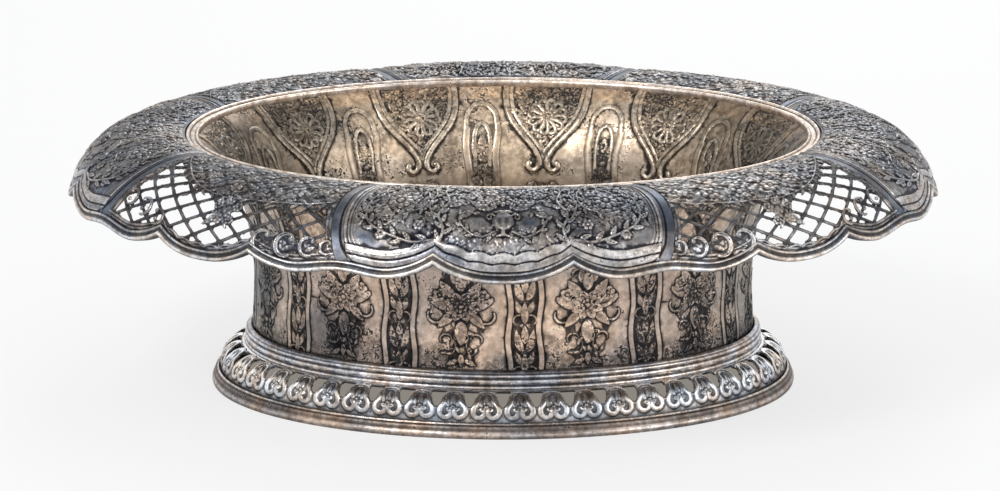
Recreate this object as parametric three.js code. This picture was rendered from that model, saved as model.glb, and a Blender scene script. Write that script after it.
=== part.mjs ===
import * as THREE from "three";

// A large oval silver centrepiece bowl: a raised body on a pierced foot, with a broad rim that rolls over and
// down. Four solid cartouche panels and four pierced trellis panels make up the rim, and a moulded wire grips
// their lobed edge. Millimetres, +Z up, the foot on Z = 0, the front of the bowl at -Y, its length along X.

// Whole bowl
const MOUTH_HALF_LENGTH = 168; // plan oval of the collar's outer edge, along X
const MOUTH_HALF_WIDTH = 131; // the same oval, along Y
const COLLAR_HEIGHT = 134; // table to the flat top of the collar
const SHEET = 1.4; // silver sheet of the body, the rim panels and the skirt
const SEAM = 0.3; // solder gap between two pieces

// Rim. Outward distances are measured from the collar's outer edge, square to the oval.
const RIM_REACH = 60; // to the tips of the lobes, under the edge wire
const CREST_AT = 16; // to the highest line of the rim
const CREST_RISE = 3.3; // how far that line stands above the collar
const RIM_DROP = 33.3; // from the crest down to the lobe tips
const DOME_RISE = 4; // how far the middle of a cartouche is raised from behind
const DOME_BORDER = 0.22; // share of a cartouche left flat round its dome
const FOLIAGE_RELIEF = 1.6; // how far its middle bunch and its two side sprays stand above the dome
const SPRAY_AT = 0.62; // middle of a side spray, as a share of the way from the cartouche's middle to its seam

// Lobes of the edge, placed by shares of a quarter of the oval: 0 is the middle of a long side, 1 of an end
const LONG_CUSP = 0.115;
const CORNER_CUSP_A = 0.43;
const CORNER_CUSP_B = 0.61;
const END_CUSP = 0.9;
const CUSP_DEPTH = 9; // cusps beside the cartouches' middle lobes, cut back from the lobe tips
const CORNER_CUSP_DEPTH = 7.5; // cusps beside the trellis panels' middle lobes
const SWAY_DEPTH = 3.4; // shallow wave in the middle of each flank
const SWAY_REACH = 0.3; // share of the flank that it takes up on each side of its middle
const LOBE_POWER = 2.4; // roundness of the middle lobes: a higher power is fuller
const FLANK_POWER = 3.5; // the same for the flanks

// Seams between cartouches and trellis, as the same shares, at the collar and half way to the edge
const LONG_SEAM_TOP = 0.27;
const LONG_SEAM_BULGE = 0.3;
const END_SEAM_TOP = 0.73;
const END_SEAM_BULGE = 0.715;

// Trellis
const MESH_ALONG = 13.4; // one diamond along the rim, measured at the collar
const MESH_DOWN = 11.8; // one diamond from the collar towards the edge
const BAR_WIDTH = 1.6;
const FIELD_TOP = 8; // unpierced strip under the collar
const GARLAND_SAG = 12; // how much deeper that strip hangs in the middle of a panel
const FIELD_SIDE = 2.5; // unpierced strip along the seams
const FIELD_EDGE = 6; // unpierced strip along the lobed edge

// Edge wire
const WIRE_LAP = 3.2; // how far it laps onto the panels
const WIRE_PROUD = 2.2; // how far it stands out past their edge, and its outer bead above their face
const WIRE_GROOVE = 1.1; // height of the groove between its two beads above the panels' face
const WIRE_INNER_BEAD = 1.8; // height of its inner bead
const WIRE_LEAF = 1; // thickness of its lower leaf, which tapers off under the panels

// Collar
const COLLAR_WIDTH = 7.2;
const COLLAR_THICK = 3;
const COLLAR_SEAT = 4; // flange under the rim panels
const SEAT_RELIEF = 0.4; // how far the flange's edge falls away from them
const COLLAR_LIP = 2; // lip round the outside of the body's top edge
const BEAD = 1.3; // height and half width of the collar's outer bead
const INNER_BEAD = 0.9; // the same for its bead over the bowl's inside

// Body
const BASE_INSET = 34; // outer face of the body just above its floor, in from the collar's outer edge
const WAIST_INSET = 35.8; // at its narrowest
const WAIST_HEIGHT = 56;
const BASE_BEND = 3; // bend between floor and wall
const WAIST_HOLD = 0.54; // share of the height above the waist over which the wall leaves it slowly
const FLARE = 0.46; // share of the flare that the wall has made where it turns outward
const FLARE_DROP = 9.7; // how far that place lies below the wall's top
const BAYS = 12; // chased bays round the wall, each with a bouquet outside and a shield inside, under the mouth
const FIRST_BAY = 0.67; // middle of the bay right of the front's middle, in bays
const BOUQUET_RELIEF = 0.8; // how far the wall is pushed out behind a bouquet, at the waist
const SHIELD_RELIEF = 0.9; // how far it is pushed in behind a shield

// Waist wire
const WAIST_WIRE_HEIGHT = 9.3;
const WAIST_WIRE_THICK = 3.7;
const WAIST_WIRE_LEAN = 1; // how far its face leans in at the top
const REED_DEPTH = 0.8; // grooves beside its middle reed

// Foot
const FOOT_HEIGHT = 21.4; // table to the flat top of the skirt, where the body stands
const FOOT_INSET = 12.5; // outermost line of the foot ring, in from the collar's outer edge
const FOOT_RING_HEIGHT = 7.7;
const FOOT_RING_WIDTH = 7.5;
const FOOT_RING_FACE = 2.7; // height of its upright outer face
const FOOT_RING_SHOULDER = 6.5; // height where its rounded top starts
const FOOT_RING_LEAN = 1.4; // how far it leans in between the two
const RABBET = 1.6; // depth of the foot ring's rabbet for the skirt
const SKIRT_INSET = 16.7; // outer face of the skirt at its lower edge
const SKIRT_FULLNESS = 1.2; // how far its shoulder has drawn in where it turns level: less is fuller
const SKIRT_LEVEL_INSET = 32.5; // where it is level, just outside the body
const SKIRT_LEDGE = 9; // flat inner border of the skirt, under the body
const LAPPETS = 48; // chased lappets round the skirt, with an opening between each two
const OPENING_WIDTH = 8; // one opening at its top
const OPENING_LOW = 0.42; // its ends, as shares of the skirt's curve from the lower edge up
const OPENING_HIGH = 0.86;
const OPENING_MIDDLE = 0.45; // its width half way up, as a share of the width at its top

const SILVER = new THREE.Color(0.56, 0.54, 0.51);
const DARK_SILVER = new THREE.Color(0.34, 0.34, 0.36);
const PALE_SILVER = new THREE.Color(0.66, 0.6, 0.54);

const bowl = new THREE.Group();

function addPiece(name, geometry, color, roughness) {
  const material = new THREE.MeshStandardMaterial({ color, roughness, metalness: 1 });
  const mesh = new THREE.Mesh(geometry, material);
  mesh.name = name;
  bowl.add(mesh);
}

function solidFrom(vertices, faces) {
  const positions = new Float32Array(vertices.flatMap((v) => [v.x, v.y, v.z]));
  const geometry = new THREE.BufferGeometry();
  geometry.setAttribute("position", new THREE.BufferAttribute(positions, 3));
  geometry.setIndex(faces.flat());
  geometry.computeVertexNormals();
  return geometry;
}

// Values from one end to the other in equal steps, both ends included.
function steps(from, to, count) {
  return Array.from({ length: count + 1 }, (_, i) => from + ((to - from) * i) / count);
}

function pointsOf(...pairs) {
  return pairs.map(([x, y]) => new THREE.Vector2(x, y));
}

// The plan oval. An angle of 0 is its right end. A turn goes by equal lengths: 0 is the middle of the front
// and 0.25 the right end.
const mouthOval = new THREE.EllipseCurve(
  0, 0, MOUTH_HALF_LENGTH, MOUTH_HALF_WIDTH, -Math.PI / 2, 1.5 * Math.PI,
);
mouthOval.arcLengthDivisions = 4000;
const OVAL_LENGTH = mouthOval.getLength();
const QUARTER = OVAL_LENGTH / 4;

function angleOfTurn(turn) {
  const within = THREE.MathUtils.euclideanModulo(turn, 1);
  return -Math.PI / 2 + 2 * Math.PI * mouthOval.getUtoTmapping(within);
}

function ovalNormal(angle) {
  const [x, y] = [Math.cos(angle) / MOUTH_HALF_LENGTH, Math.sin(angle) / MOUTH_HALF_WIDTH];
  return new THREE.Vector2(x, y).normalize();
}

function ovalPoint(angle, outward, height) {
  const normal = ovalNormal(angle);
  return new THREE.Vector3(
    MOUTH_HALF_LENGTH * Math.cos(angle) + normal.x * outward,
    MOUTH_HALF_WIDTH * Math.sin(angle) + normal.y * outward,
    height,
  );
}

// The angle at an equal share of the parallel oval that lies a distance outward from the mouth oval. Its
// length up to a turn is the mouth oval's, plus the distance times the angle that the normal has turned.
function angleOnParallel(outward, share) {
  const length = OVAL_LENGTH + 2 * Math.PI * outward;
  let turn = share;
  for (let round = 0; round < 8; round++) {
    const normal = ovalNormal(angleOfTurn(turn));
    const even = 2 * Math.PI * turn;
    const ahead = Math.atan2(normal.x, -normal.y) - even;
    const turned = even + Math.atan2(Math.sin(ahead), Math.cos(ahead));
    turn = (share * length - outward * turned) / OVAL_LENGTH;
  }
  return angleOfTurn(turn);
}

// Sweeps a closed profile of (outward, height) points, listed anticlockwise, round the oval.
function ovalRing(profile, angles) {
  const across = profile.length;
  const vertices = angles.flatMap((angle) => profile.map((p) => ovalPoint(angle, p.x, p.y)));
  const faces = angles.flatMap((_, i) => {
    const here = i * across;
    const next = ((i + 1) % angles.length) * across;
    return profile.flatMap((__, j) => {
      const up = (j + 1) % across;
      return [[here + j, next + j, next + up], [here + j, next + up, here + up]];
    });
  });
  return solidFrom(vertices, faces);
}

// The other face of a sheet whose outer line is listed from the bottom up.
function innerLine(outerLine) {
  return outerLine.map((p, i) => {
    const before = outerLine[Math.max(i - 1, 0)];
    const after = outerLine[Math.min(i + 1, outerLine.length - 1)];
    const along = after.clone().sub(before).normalize();
    return new THREE.Vector2(p.x - along.y * SHEET, p.y + along.x * SHEET);
  });
}

// A flat sheet of triangles that share their points. Where the sheet closes on itself round the oval, x
// starts again at 0 after a full length.
class FlatSheet {
  constructor(fullLength = Infinity) {
    this.grid = 2000;
    this.wrap = Math.round(fullLength * this.grid);
    this.points = [];
    this.known = new Map();
    this.faces = [];
  }

  indexOf(p) {
    const x = Math.round(p.x * this.grid);
    const key = (this.wrap === Infinity ? x : x % this.wrap) + "," + Math.round(p.y * this.grid);
    if (!this.known.has(key)) {
      this.known.set(key, this.points.length);
      this.points.push(p);
    }
    return this.known.get(key);
  }

  // Fills an outline, less its holes, with triangles that all turn the same way.
  fill(outline, holes = []) {
    if (outline.length < 3) return;
    const corners = [...outline, ...holes.flat()];
    for (const face of THREE.ShapeUtils.triangulateShape(outline, holes)) {
      const [a, b, c] = face.map((k) => this.indexOf(corners[k]));
      if (a === b || b === c || c === a) continue;
      const clockwise = THREE.ShapeUtils.area(face.map((k) => corners[k])) < 0;
      this.faces.push(clockwise ? [a, c, b] : [a, b, c]);
    }
  }
}

// Bends a flat sheet into place and gives it its thickness. place(point, lift) gives a point in space, with
// x along the oval, y up towards the collar and the lift outward; a mirrored place turns the faces over.
function sheetSolid(sheet, place, mirrored = false) {
  const count = sheet.points.length;
  const vertices = [0, -SHEET].flatMap((lift) => sheet.points.map((p) => place(p, lift)));
  const sidesOf = ([a, b, c]) => [[a, b], [b, c], [c, a]];
  const sides = new Set(sheet.faces.flatMap(sidesOf).map(String));
  const faces = sheet.faces.flatMap((face) => {
    const [a, b, c] = face;
    const open = sidesOf(face).filter(([from, to]) => !sides.has(String([to, from])));
    const walls = open.flatMap(([from, to]) => [[from, from + count, to + count], [from, to + count, to]]);
    return [face, [a + count, c + count, b + count], ...walls];
  });
  return solidFrom(vertices, mirrored ? faces.map(([a, b, c]) => [a, c, b]) : faces);
}

// Stations round the oval: equal lengths of the skirt for the foot. Above it each chased bay has four, two
// behind its relief and two on the plain ground beside it.
const footAngles = steps(0, 1, LAPPETS).slice(0, -1).map((share) => angleOnParallel(-SKIRT_INSET, share));
const STATIONS_PER_BAY = 4;
const bodyStations = Array.from({ length: BAYS * STATIONS_PER_BAY }, (_, i) => (i + 0.5) / STATIONS_PER_BAY);
const bodyAngles = bodyStations.map((bay) => angleOfTurn((bay - 0.5 + FIRST_BAY) / BAYS));

// Foot ring: a plain thick wire, flat below, with a rabbet for the skirt's lower edge.
function footRing() {
  const inner = -FOOT_INSET - FOOT_RING_WIDTH;
  const rabbetWall = -SKIRT_INSET + SEAM;
  const rabbetFloor = FOOT_RING_HEIGHT - RABBET;
  return ovalRing(pointsOf(
    [inner, 0],
    [-FOOT_INSET, 0],
    [-FOOT_INSET, FOOT_RING_FACE],
    [-FOOT_INSET - FOOT_RING_LEAN, FOOT_RING_SHOULDER],
    [rabbetWall, FOOT_RING_HEIGHT],
    [rabbetWall, rabbetFloor],
    [inner, rabbetFloor],
  ), footAngles);
}
addPiece("foot_ring", footRing(), PALE_SILVER, 0.4);

// Foot skirt: a shoulder that rises from the foot ring and bends level under the body, pierced between its
// lappets by openings that narrow downwards.
function footSkirt() {
  const bottom = FOOT_RING_HEIGHT - RABBET + SEAM;
  const shoulder = new THREE.QuadraticBezierCurve(
    new THREE.Vector2(-SKIRT_INSET, bottom),
    new THREE.Vector2(-SKIRT_INSET - SKIRT_FULLNESS, FOOT_HEIGHT),
    new THREE.Vector2(-SKIRT_LEVEL_INSET, FOOT_HEIGHT),
  );
  const levels = [0, OPENING_LOW, (OPENING_LOW + OPENING_HIGH) / 2, OPENING_HIGH];
  const outer = levels.map((at) => shoulder.getPoint(at));
  outer.push(new THREE.Vector2(-SKIRT_LEVEL_INSET - SKIRT_LEDGE, FOOT_HEIGHT));
  const inner = innerLine(outer);
  inner[0].y = bottom;
  const last = outer.length - 1;
  inner[last].x = outer[last].x;

  // One lappet and the two half openings beside it, in steps of the pitch and of the levels
  const half = OPENING_WIDTH / 2 / ((OVAL_LENGTH - 2 * Math.PI * SKIRT_INSET) / LAPPETS);
  const waist = half * OPENING_MIDDLE;
  const sheet = new FlatSheet(LAPPETS);
  for (let i = 0; i < LAPPETS; i++) {
    const rows = [
      [i, i + 1],
      [i, i + 1],
      [i + waist, i + 1 - waist],
      [i + half, i + 1 - half],
    ];
    for (let level = 0; level + 1 < rows.length; level++) {
      const [[a, b], [c, d]] = [rows[level], rows[level + 1]];
      sheet.fill(pointsOf([a, level], [b, level], [d, level + 1], [c, level + 1]));
    }
    sheet.fill(pointsOf([i + half, 3], [i + 1 - half, 3], [i + 0.5, 4]));
    sheet.fill(pointsOf([i - half + 1, 3], [i + 1 + half, 3], [i + 1.5, 4], [i + 0.5, 4]));
  }
  const place = (p, lift) => {
    const line = lift < 0 ? inner : outer;
    const angle = angleOnParallel(-SKIRT_INSET, p.x / LAPPETS);
    return ovalPoint(angle, line[p.y].x, line[p.y].y);
  };
  return sheetSolid(sheet, place);
}
addPiece("foot_skirt", footSkirt(), DARK_SILVER, 0.45);

// Body: one raised sheet. From the level floor it bends up, draws in to the waist and opens like a trumpet
// under the collar. In each bay it is pushed out behind the bouquet at the waist and in behind the shield.
const BODY_BOTTOM = FOOT_HEIGHT + SEAM;
const COLLAR_UNDER = COLLAR_HEIGHT - COLLAR_THICK;
const BODY_TOP = COLLAR_UNDER - SEAM;
const BODY_TOP_INSET = COLLAR_WIDTH - SHEET;
function raisedBody() {
  const trumpet = new THREE.CubicBezierCurve(
    new THREE.Vector2(-WAIST_INSET, WAIST_HEIGHT),
    new THREE.Vector2(-WAIST_INSET, THREE.MathUtils.lerp(WAIST_HEIGHT, BODY_TOP, WAIST_HOLD)),
    new THREE.Vector2(THREE.MathUtils.lerp(-WAIST_INSET, -BODY_TOP_INSET, FLARE), BODY_TOP - FLARE_DROP),
    new THREE.Vector2(-BODY_TOP_INSET, BODY_TOP),
  );
  const outer = [
    new THREE.Vector2(-BASE_INSET - BASE_BEND, BODY_BOTTOM),
    new THREE.Vector2(-BASE_INSET, BODY_BOTTOM + BASE_BEND),
    ...trumpet.getPoints(4),
  ];
  const inner = innerLine(outer);
  inner[0].y = BODY_BOTTOM + SHEET;
  inner[inner.length - 1].y = BODY_TOP;
  const profile = [...outer, ...inner.reverse()];
  const across = profile.length;
  const relief = [0, 0, BOUQUET_RELIEF, 0, -SHIELD_RELIEF, -SHIELD_RELIEF, 0];
  relief.push(...relief.toReversed());
  const vertices = bodyStations.flatMap((bay, i) => {
    const behindRelief = Math.abs((bay % 1) - 0.5) < 0.25 ? 1 : 0;
    return profile.map((p, row) => ovalPoint(bodyAngles[i], p.x + relief[row] * behindRelief, p.y));
  });
  const under = vertices.length;
  const above = under + 1;
  vertices.push(new THREE.Vector3(0, 0, BODY_BOTTOM), new THREE.Vector3(0, 0, BODY_BOTTOM + SHEET));
  const faces = bodyAngles.flatMap((_, i) => {
    const here = i * across;
    const next = ((i + 1) % bodyAngles.length) * across;
    const wall = profile.slice(1).flatMap((__, j) => {
      return [[here + j, next + j, next + j + 1], [here + j, next + j + 1, here + j + 1]];
    });
    return [...wall, [under, next, here], [above, here + across - 1, next + across - 1]];
  });
  return solidFrom(vertices, faces);
}
addPiece("bowl_body", raisedBody(), SILVER, 0.4);

// Waist wire: a moulding of reeds that stands on the skirt round the foot of the body.
function waistWire() {
  const inner = -BASE_INSET + SEAM;
  const outer = inner + WAIST_WIRE_THICK;
  const bottom = FOOT_HEIGHT + SEAM;
  const face = (share, cut) => [outer - WAIST_WIRE_LEAN * share - cut, bottom + WAIST_WIRE_HEIGHT * share];
  return ovalRing(pointsOf(
    [inner, bottom],
    face(0, 0),
    face(1 / 3, REED_DEPTH),
    face(1 / 2, 0),
    face(2 / 3, REED_DEPTH),
    face(0.9, 0),
    [inner, bottom + WAIST_WIRE_HEIGHT],
  ), bodyAngles);
}
addPiece("waist_wire", waistWire(), DARK_SILVER, 0.35);

// The rim's surface: an ellipse arc from the collar over the crest and down, swept round the oval. A place on
// it is a turn, a distance from the collar measured on the surface, and a lift off the surface.
const ARC_OUT = RIM_REACH - CREST_AT;
const ARC_CENTRE = COLLAR_HEIGHT + CREST_RISE - RIM_DROP;
const ARC_START = Math.acos((SEAM - CREST_AT) / ARC_OUT);
const rimArc = new THREE.EllipseCurve(CREST_AT, ARC_CENTRE, ARC_OUT, RIM_DROP, ARC_START, 0, true);
rimArc.arcLengthDivisions = 1000;
const RIM_LENGTH = rimArc.getLength();

function rimHeight(outward) {
  return ARC_CENTRE + RIM_DROP * Math.sqrt(1 - ((outward - CREST_AT) / ARC_OUT) ** 2);
}

function rimPoint(turn, distance, lift) {
  const share = rimArc.getUtoTmapping(THREE.MathUtils.clamp(distance / RIM_LENGTH, 0, 1));
  const angle = ARC_START * (1 - share);
  const normal = new THREE.Vector2(Math.cos(angle) / ARC_OUT, Math.sin(angle) / RIM_DROP).normalize();
  const outward = CREST_AT + ARC_OUT * Math.cos(angle) + normal.x * lift;
  const height = ARC_CENTRE + RIM_DROP * Math.sin(angle) + normal.y * lift;
  return ovalPoint(angleOfTurn(turn), outward, height);
}

// Collar: a flat moulding with two beads. Its lip goes round the body's top edge, its seat under the panels.
function mouthCollar() {
  const lipInner = -BODY_TOP_INSET + SEAM;
  const lipOuter = lipInner + SHEET;
  const seatDrop = SHEET + SEAM;
  const seatEnd = rimHeight(COLLAR_SEAT) - seatDrop - SEAT_RELIEF;
  return ovalRing(pointsOf(
    [-COLLAR_WIDTH, COLLAR_UNDER],
    [lipInner, COLLAR_UNDER],
    [lipInner, COLLAR_UNDER - COLLAR_LIP],
    [lipOuter, COLLAR_UNDER - COLLAR_LIP],
    [COLLAR_SEAT, seatEnd - SHEET],
    [COLLAR_SEAT, seatEnd],
    [0, COLLAR_HEIGHT - seatDrop],
    [0, COLLAR_HEIGHT],
    [-BEAD, COLLAR_HEIGHT + BEAD],
    [-2 * BEAD, COLLAR_HEIGHT],
    [-COLLAR_WIDTH + 2 * INNER_BEAD, COLLAR_HEIGHT],
    [-COLLAR_WIDTH + INNER_BEAD, COLLAR_HEIGHT + INNER_BEAD],
  ), bodyAngles);
}
addPiece("mouth_collar", mouthCollar(), PALE_SILVER, 0.3);

// How far the edge is cut back from the lobe tips at a share of a quarter.
function middleLobe(x, depth) {
  return depth * Math.abs(x) ** LOBE_POWER;
}

function flank(x, depthBefore, depthAfter) {
  const fromMiddle = x - 0.5;
  const within = Math.min(Math.abs(fromMiddle) / SWAY_REACH, 1);
  const sway = Math.cos((Math.PI / 2) * within) ** 2;
  const depth = fromMiddle < 0 ? depthBefore : depthAfter;
  return depth * Math.abs(2 * fromMiddle) ** FLANK_POWER + SWAY_DEPTH * sway;
}

function edgeCutback(share) {
  if (share < LONG_CUSP) return middleLobe(share / LONG_CUSP, CUSP_DEPTH);
  if (share < CORNER_CUSP_A) {
    return flank((share - LONG_CUSP) / (CORNER_CUSP_A - LONG_CUSP), CUSP_DEPTH, CORNER_CUSP_DEPTH);
  }
  if (share < CORNER_CUSP_B) {
    const x = (2 * share - CORNER_CUSP_A - CORNER_CUSP_B) / (CORNER_CUSP_B - CORNER_CUSP_A);
    return middleLobe(x, CORNER_CUSP_DEPTH);
  }
  if (share < END_CUSP) {
    return flank((share - CORNER_CUSP_B) / (END_CUSP - CORNER_CUSP_B), CORNER_CUSP_DEPTH, CUSP_DEPTH);
  }
  return middleLobe((1 - share) / (1 - END_CUSP), CUSP_DEPTH);
}

function edgeDistance(share) {
  return RIM_LENGTH - edgeCutback(share);
}

// Seams: each runs from the collar out to its bulge and back to the middle of a flank. down is 0 at the
// collar and 1 at the edge.
const LONG_SEAM_EDGE = (LONG_CUSP + CORNER_CUSP_A) / 2;
const END_SEAM_EDGE = (CORNER_CUSP_B + END_CUSP) / 2;
function seamShare(top, bulge, edge, down) {
  return top * (1 - down) + edge * down + 4 * (bulge - (top + edge) / 2) * down * (1 - down);
}
const longSeam = (down) => seamShare(LONG_SEAM_TOP, LONG_SEAM_BULGE, LONG_SEAM_EDGE, down);
const endSeam = (down) => seamShare(END_SEAM_TOP, END_SEAM_BULGE, END_SEAM_EDGE, down);

// Shares at which each stretch of the edge has its points
const LOBE_STEPS = 6;
const FLANK_STEPS = 4;
const longLobe = steps(0, LONG_CUSP, LOBE_STEPS / 2);
const longFlank = steps(LONG_CUSP, LONG_SEAM_EDGE, FLANK_STEPS);
const cornerFlankA = steps(LONG_SEAM_EDGE, CORNER_CUSP_A, FLANK_STEPS);
const cornerLobe = steps(CORNER_CUSP_A, CORNER_CUSP_B, LOBE_STEPS);
const cornerFlankB = steps(CORNER_CUSP_B, END_SEAM_EDGE, FLANK_STEPS);
const endFlank = steps(END_SEAM_EDGE, END_CUSP, FLANK_STEPS);
const endLobe = steps(END_CUSP, 1, LOBE_STEPS / 2);
const RIM_ROWS = 5; // rows of facets from the collar to the edge wire's lap; one more lies under the lap

function joined(...stretches) {
  return stretches.flatMap((stretch, i) => (i === 0 ? stretch : stretch.slice(1)));
}

// Cartouche: columns of facets fan out between its two seams. Its shares are counted from its own middle. On
// its dome stand a bunch of foliage in the middle and a spray on each side.
function cartouche(middleTurn, shares, seam, edgeAt) {
  const columns = [...shares.slice(1).reverse().map((q) => -q), ...shares];
  const sheet = new FlatSheet();
  const at = (q, row) => {
    const edge = edgeAt(Math.abs(q));
    const distance = row > RIM_ROWS ? edge : (row / RIM_ROWS) * (edge - WIRE_LAP);
    const x = (q / seam(1)) * (seam(distance / edge) * QUARTER - SEAM / 2);
    return new THREE.Vector2(x, -distance);
  };
  for (let i = 0; i + 1 < columns.length; i++) {
    const [left, right] = [columns[i], columns[i + 1]];
    for (let row = 0; row <= RIM_ROWS; row++) {
      sheet.fill([at(left, row + 1), at(right, row + 1), at(right, row), at(left, row)]);
    }
  }
  const risen = (x) => THREE.MathUtils.smoothstep(1 - Math.abs(x), DOME_BORDER, 2 * DOME_BORDER);
  const dome = (p) => {
    const share = Math.abs(p.x) / QUARTER;
    const down = -p.y / edgeAt(Math.min(share, seam(1)));
    const foliage = 0.5 + 0.5 * Math.cos((2 * Math.PI * share) / seam(down) / SPRAY_AT);
    return (DOME_RISE + FOLIAGE_RELIEF * foliage) * risen(share / seam(down)) * risen(2 * down - 1);
  };
  return sheetSolid(sheet, (p, lift) => rimPoint(middleTurn + p.x / OVAL_LENGTH, -p.y, lift + dome(p)));
}

const endShares = joined(endFlank, endLobe).map((q) => 1 - q).reverse();
const longCartouche = (turn) => cartouche(turn, joined(longLobe, longFlank), longSeam, edgeDistance);
const endCartouche = (turn) => {
  return cartouche(turn, endShares, (down) => 1 - endSeam(down), (q) => edgeDistance(1 - q));
};
addPiece("cartouche_front", longCartouche(0), SILVER, 0.42);
addPiece("cartouche_right", endCartouche(0.25), SILVER, 0.42);
addPiece("cartouche_back", longCartouche(0.5), SILVER, 0.42);
addPiece("cartouche_left", endCartouche(0.75), SILVER, 0.42);

// The lobed side of a trellis panel, drawn in from its edge and its seams.
const cornerShares = joined(cornerFlankA, cornerLobe, cornerFlankB);
function lobedSide(side, inFromEdge) {
  const from = longSeam(1 - inFromEdge / edgeDistance(LONG_SEAM_EDGE)) * QUARTER + side;
  const to = endSeam(1 - inFromEdge / edgeDistance(END_SEAM_EDGE)) * QUARTER - side;
  return cornerShares.map((q) => {
    const along = (q - LONG_SEAM_EDGE) / (END_SEAM_EDGE - LONG_SEAM_EDGE);
    return new THREE.Vector2(THREE.MathUtils.lerp(from, to, along), inFromEdge - edgeDistance(q));
  });
}

// A trellis panel's outline, with strips left off along the seams, the edge and the collar.
const COLLAR_STEPS = 9;
function trellisOutline(side, inFromEdge, top, sag) {
  const seamLine = (seam, edgeShare, shift) => {
    const edge = edgeDistance(edgeShare);
    return steps(top, edge - inFromEdge, RIM_ROWS).slice(0, -1).map((distance) => {
      return new THREE.Vector2(seam(distance / edge) * QUARTER + shift, -distance);
    });
  };
  const left = seamLine(longSeam, LONG_SEAM_EDGE, side);
  const right = seamLine(endSeam, END_SEAM_EDGE, -side);
  const collar = steps(0, 1, COLLAR_STEPS).slice(1, -1).map((x) => {
    const straight = right[0].clone().lerp(left[0], x);
    return straight.setY(straight.y - sag * 4 * x * (1 - x));
  });
  return [...lobedSide(side, inFromEdge), ...right.reverse(), ...collar, ...left];
}

// What lies of an outline on the inner side of each side of a convex cell.
function clippedTo(cell, outline) {
  return cell.reduce((kept, corner, k) => {
    const side = cell[(k + 1) % cell.length].clone().sub(corner);
    const depth = kept.map((p) => side.cross(p.clone().sub(corner)));
    return kept.flatMap((p, i) => {
      const j = (i + 1) % kept.length;
      const crosses = depth[i] >= 0 !== depth[j] >= 0;
      const crossing = crosses ? [p.clone().lerp(kept[j], depth[i] / (depth[i] - depth[j]))] : [];
      return depth[i] >= 0 ? [p, ...crossing] : crossing;
    });
  }, outline);
}

function isInside(p, outline) {
  return outline.reduce((inside, a, i) => {
    const b = outline[(i + 1) % outline.length];
    const spans = a.y > p.y !== b.y > p.y;
    const crossed = spans && p.x < a.x + ((b.x - a.x) * (p.y - a.y)) / (b.y - a.y);
    return crossed ? !inside : inside;
  }, false);
}

function diamond(centre, halfAlong, halfDown) {
  return [[-1, 0], [0, -1], [1, 0], [0, 1]].map(([x, y]) => {
    return new THREE.Vector2(centre.x + x * halfAlong, centre.y + y * halfDown);
  });
}

// How much longer a step along the rim is at a place than at the collar.
function rimStretch(p) {
  const turn = p.x / OVAL_LENGTH;
  const step = 0.5 / OVAL_LENGTH;
  return rimPoint(turn - step, -p.y, 0).distanceTo(rimPoint(turn + step, -p.y, 0));
}

// The hole of one diamond, which leaves half a bar on each side. Where one corner lies outside the field the
// hole is cut short of it, just past the middle; where more do there is none.
function trellisHole(centre, field) {
  const along = (MESH_ALONG / 2) * rimStretch(centre);
  const down = MESH_DOWN / 2;
  const shrink = 1 - (BAR_WIDTH / 2) * (Math.hypot(along, down) / (along * down));
  const corners = diamond(centre, (MESH_ALONG / 2) * shrink, down * shrink);
  const outside = corners.filter((p) => !isInside(p, field));
  if (outside.length > 1) return [];
  if (outside.length === 0) return corners;
  const cut = corners.indexOf(outside[0]);
  const [before, kept, after] = [1, 2, 3].map((k) => corners[(cut + k) % 4]);
  const share = BAR_WIDTH / before.distanceTo(kept);
  return [before.lerp(kept, share), kept, after.lerp(kept, share)];
}

// The points that lie on a line between its two ends, in order.
function pointsBetween(from, to, points) {
  const line = to.clone().sub(from);
  const along = (p) => p.clone().sub(from).dot(line) / line.lengthSq();
  return points
    .filter((p) => along(p) > 1e-4 && along(p) < 1 - 1e-4)
    .filter((p) => Math.abs(line.cross(p.clone().sub(from))) < 1e-6 * line.length())
    .sort((p, q) => along(p) - along(q));
}

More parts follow.
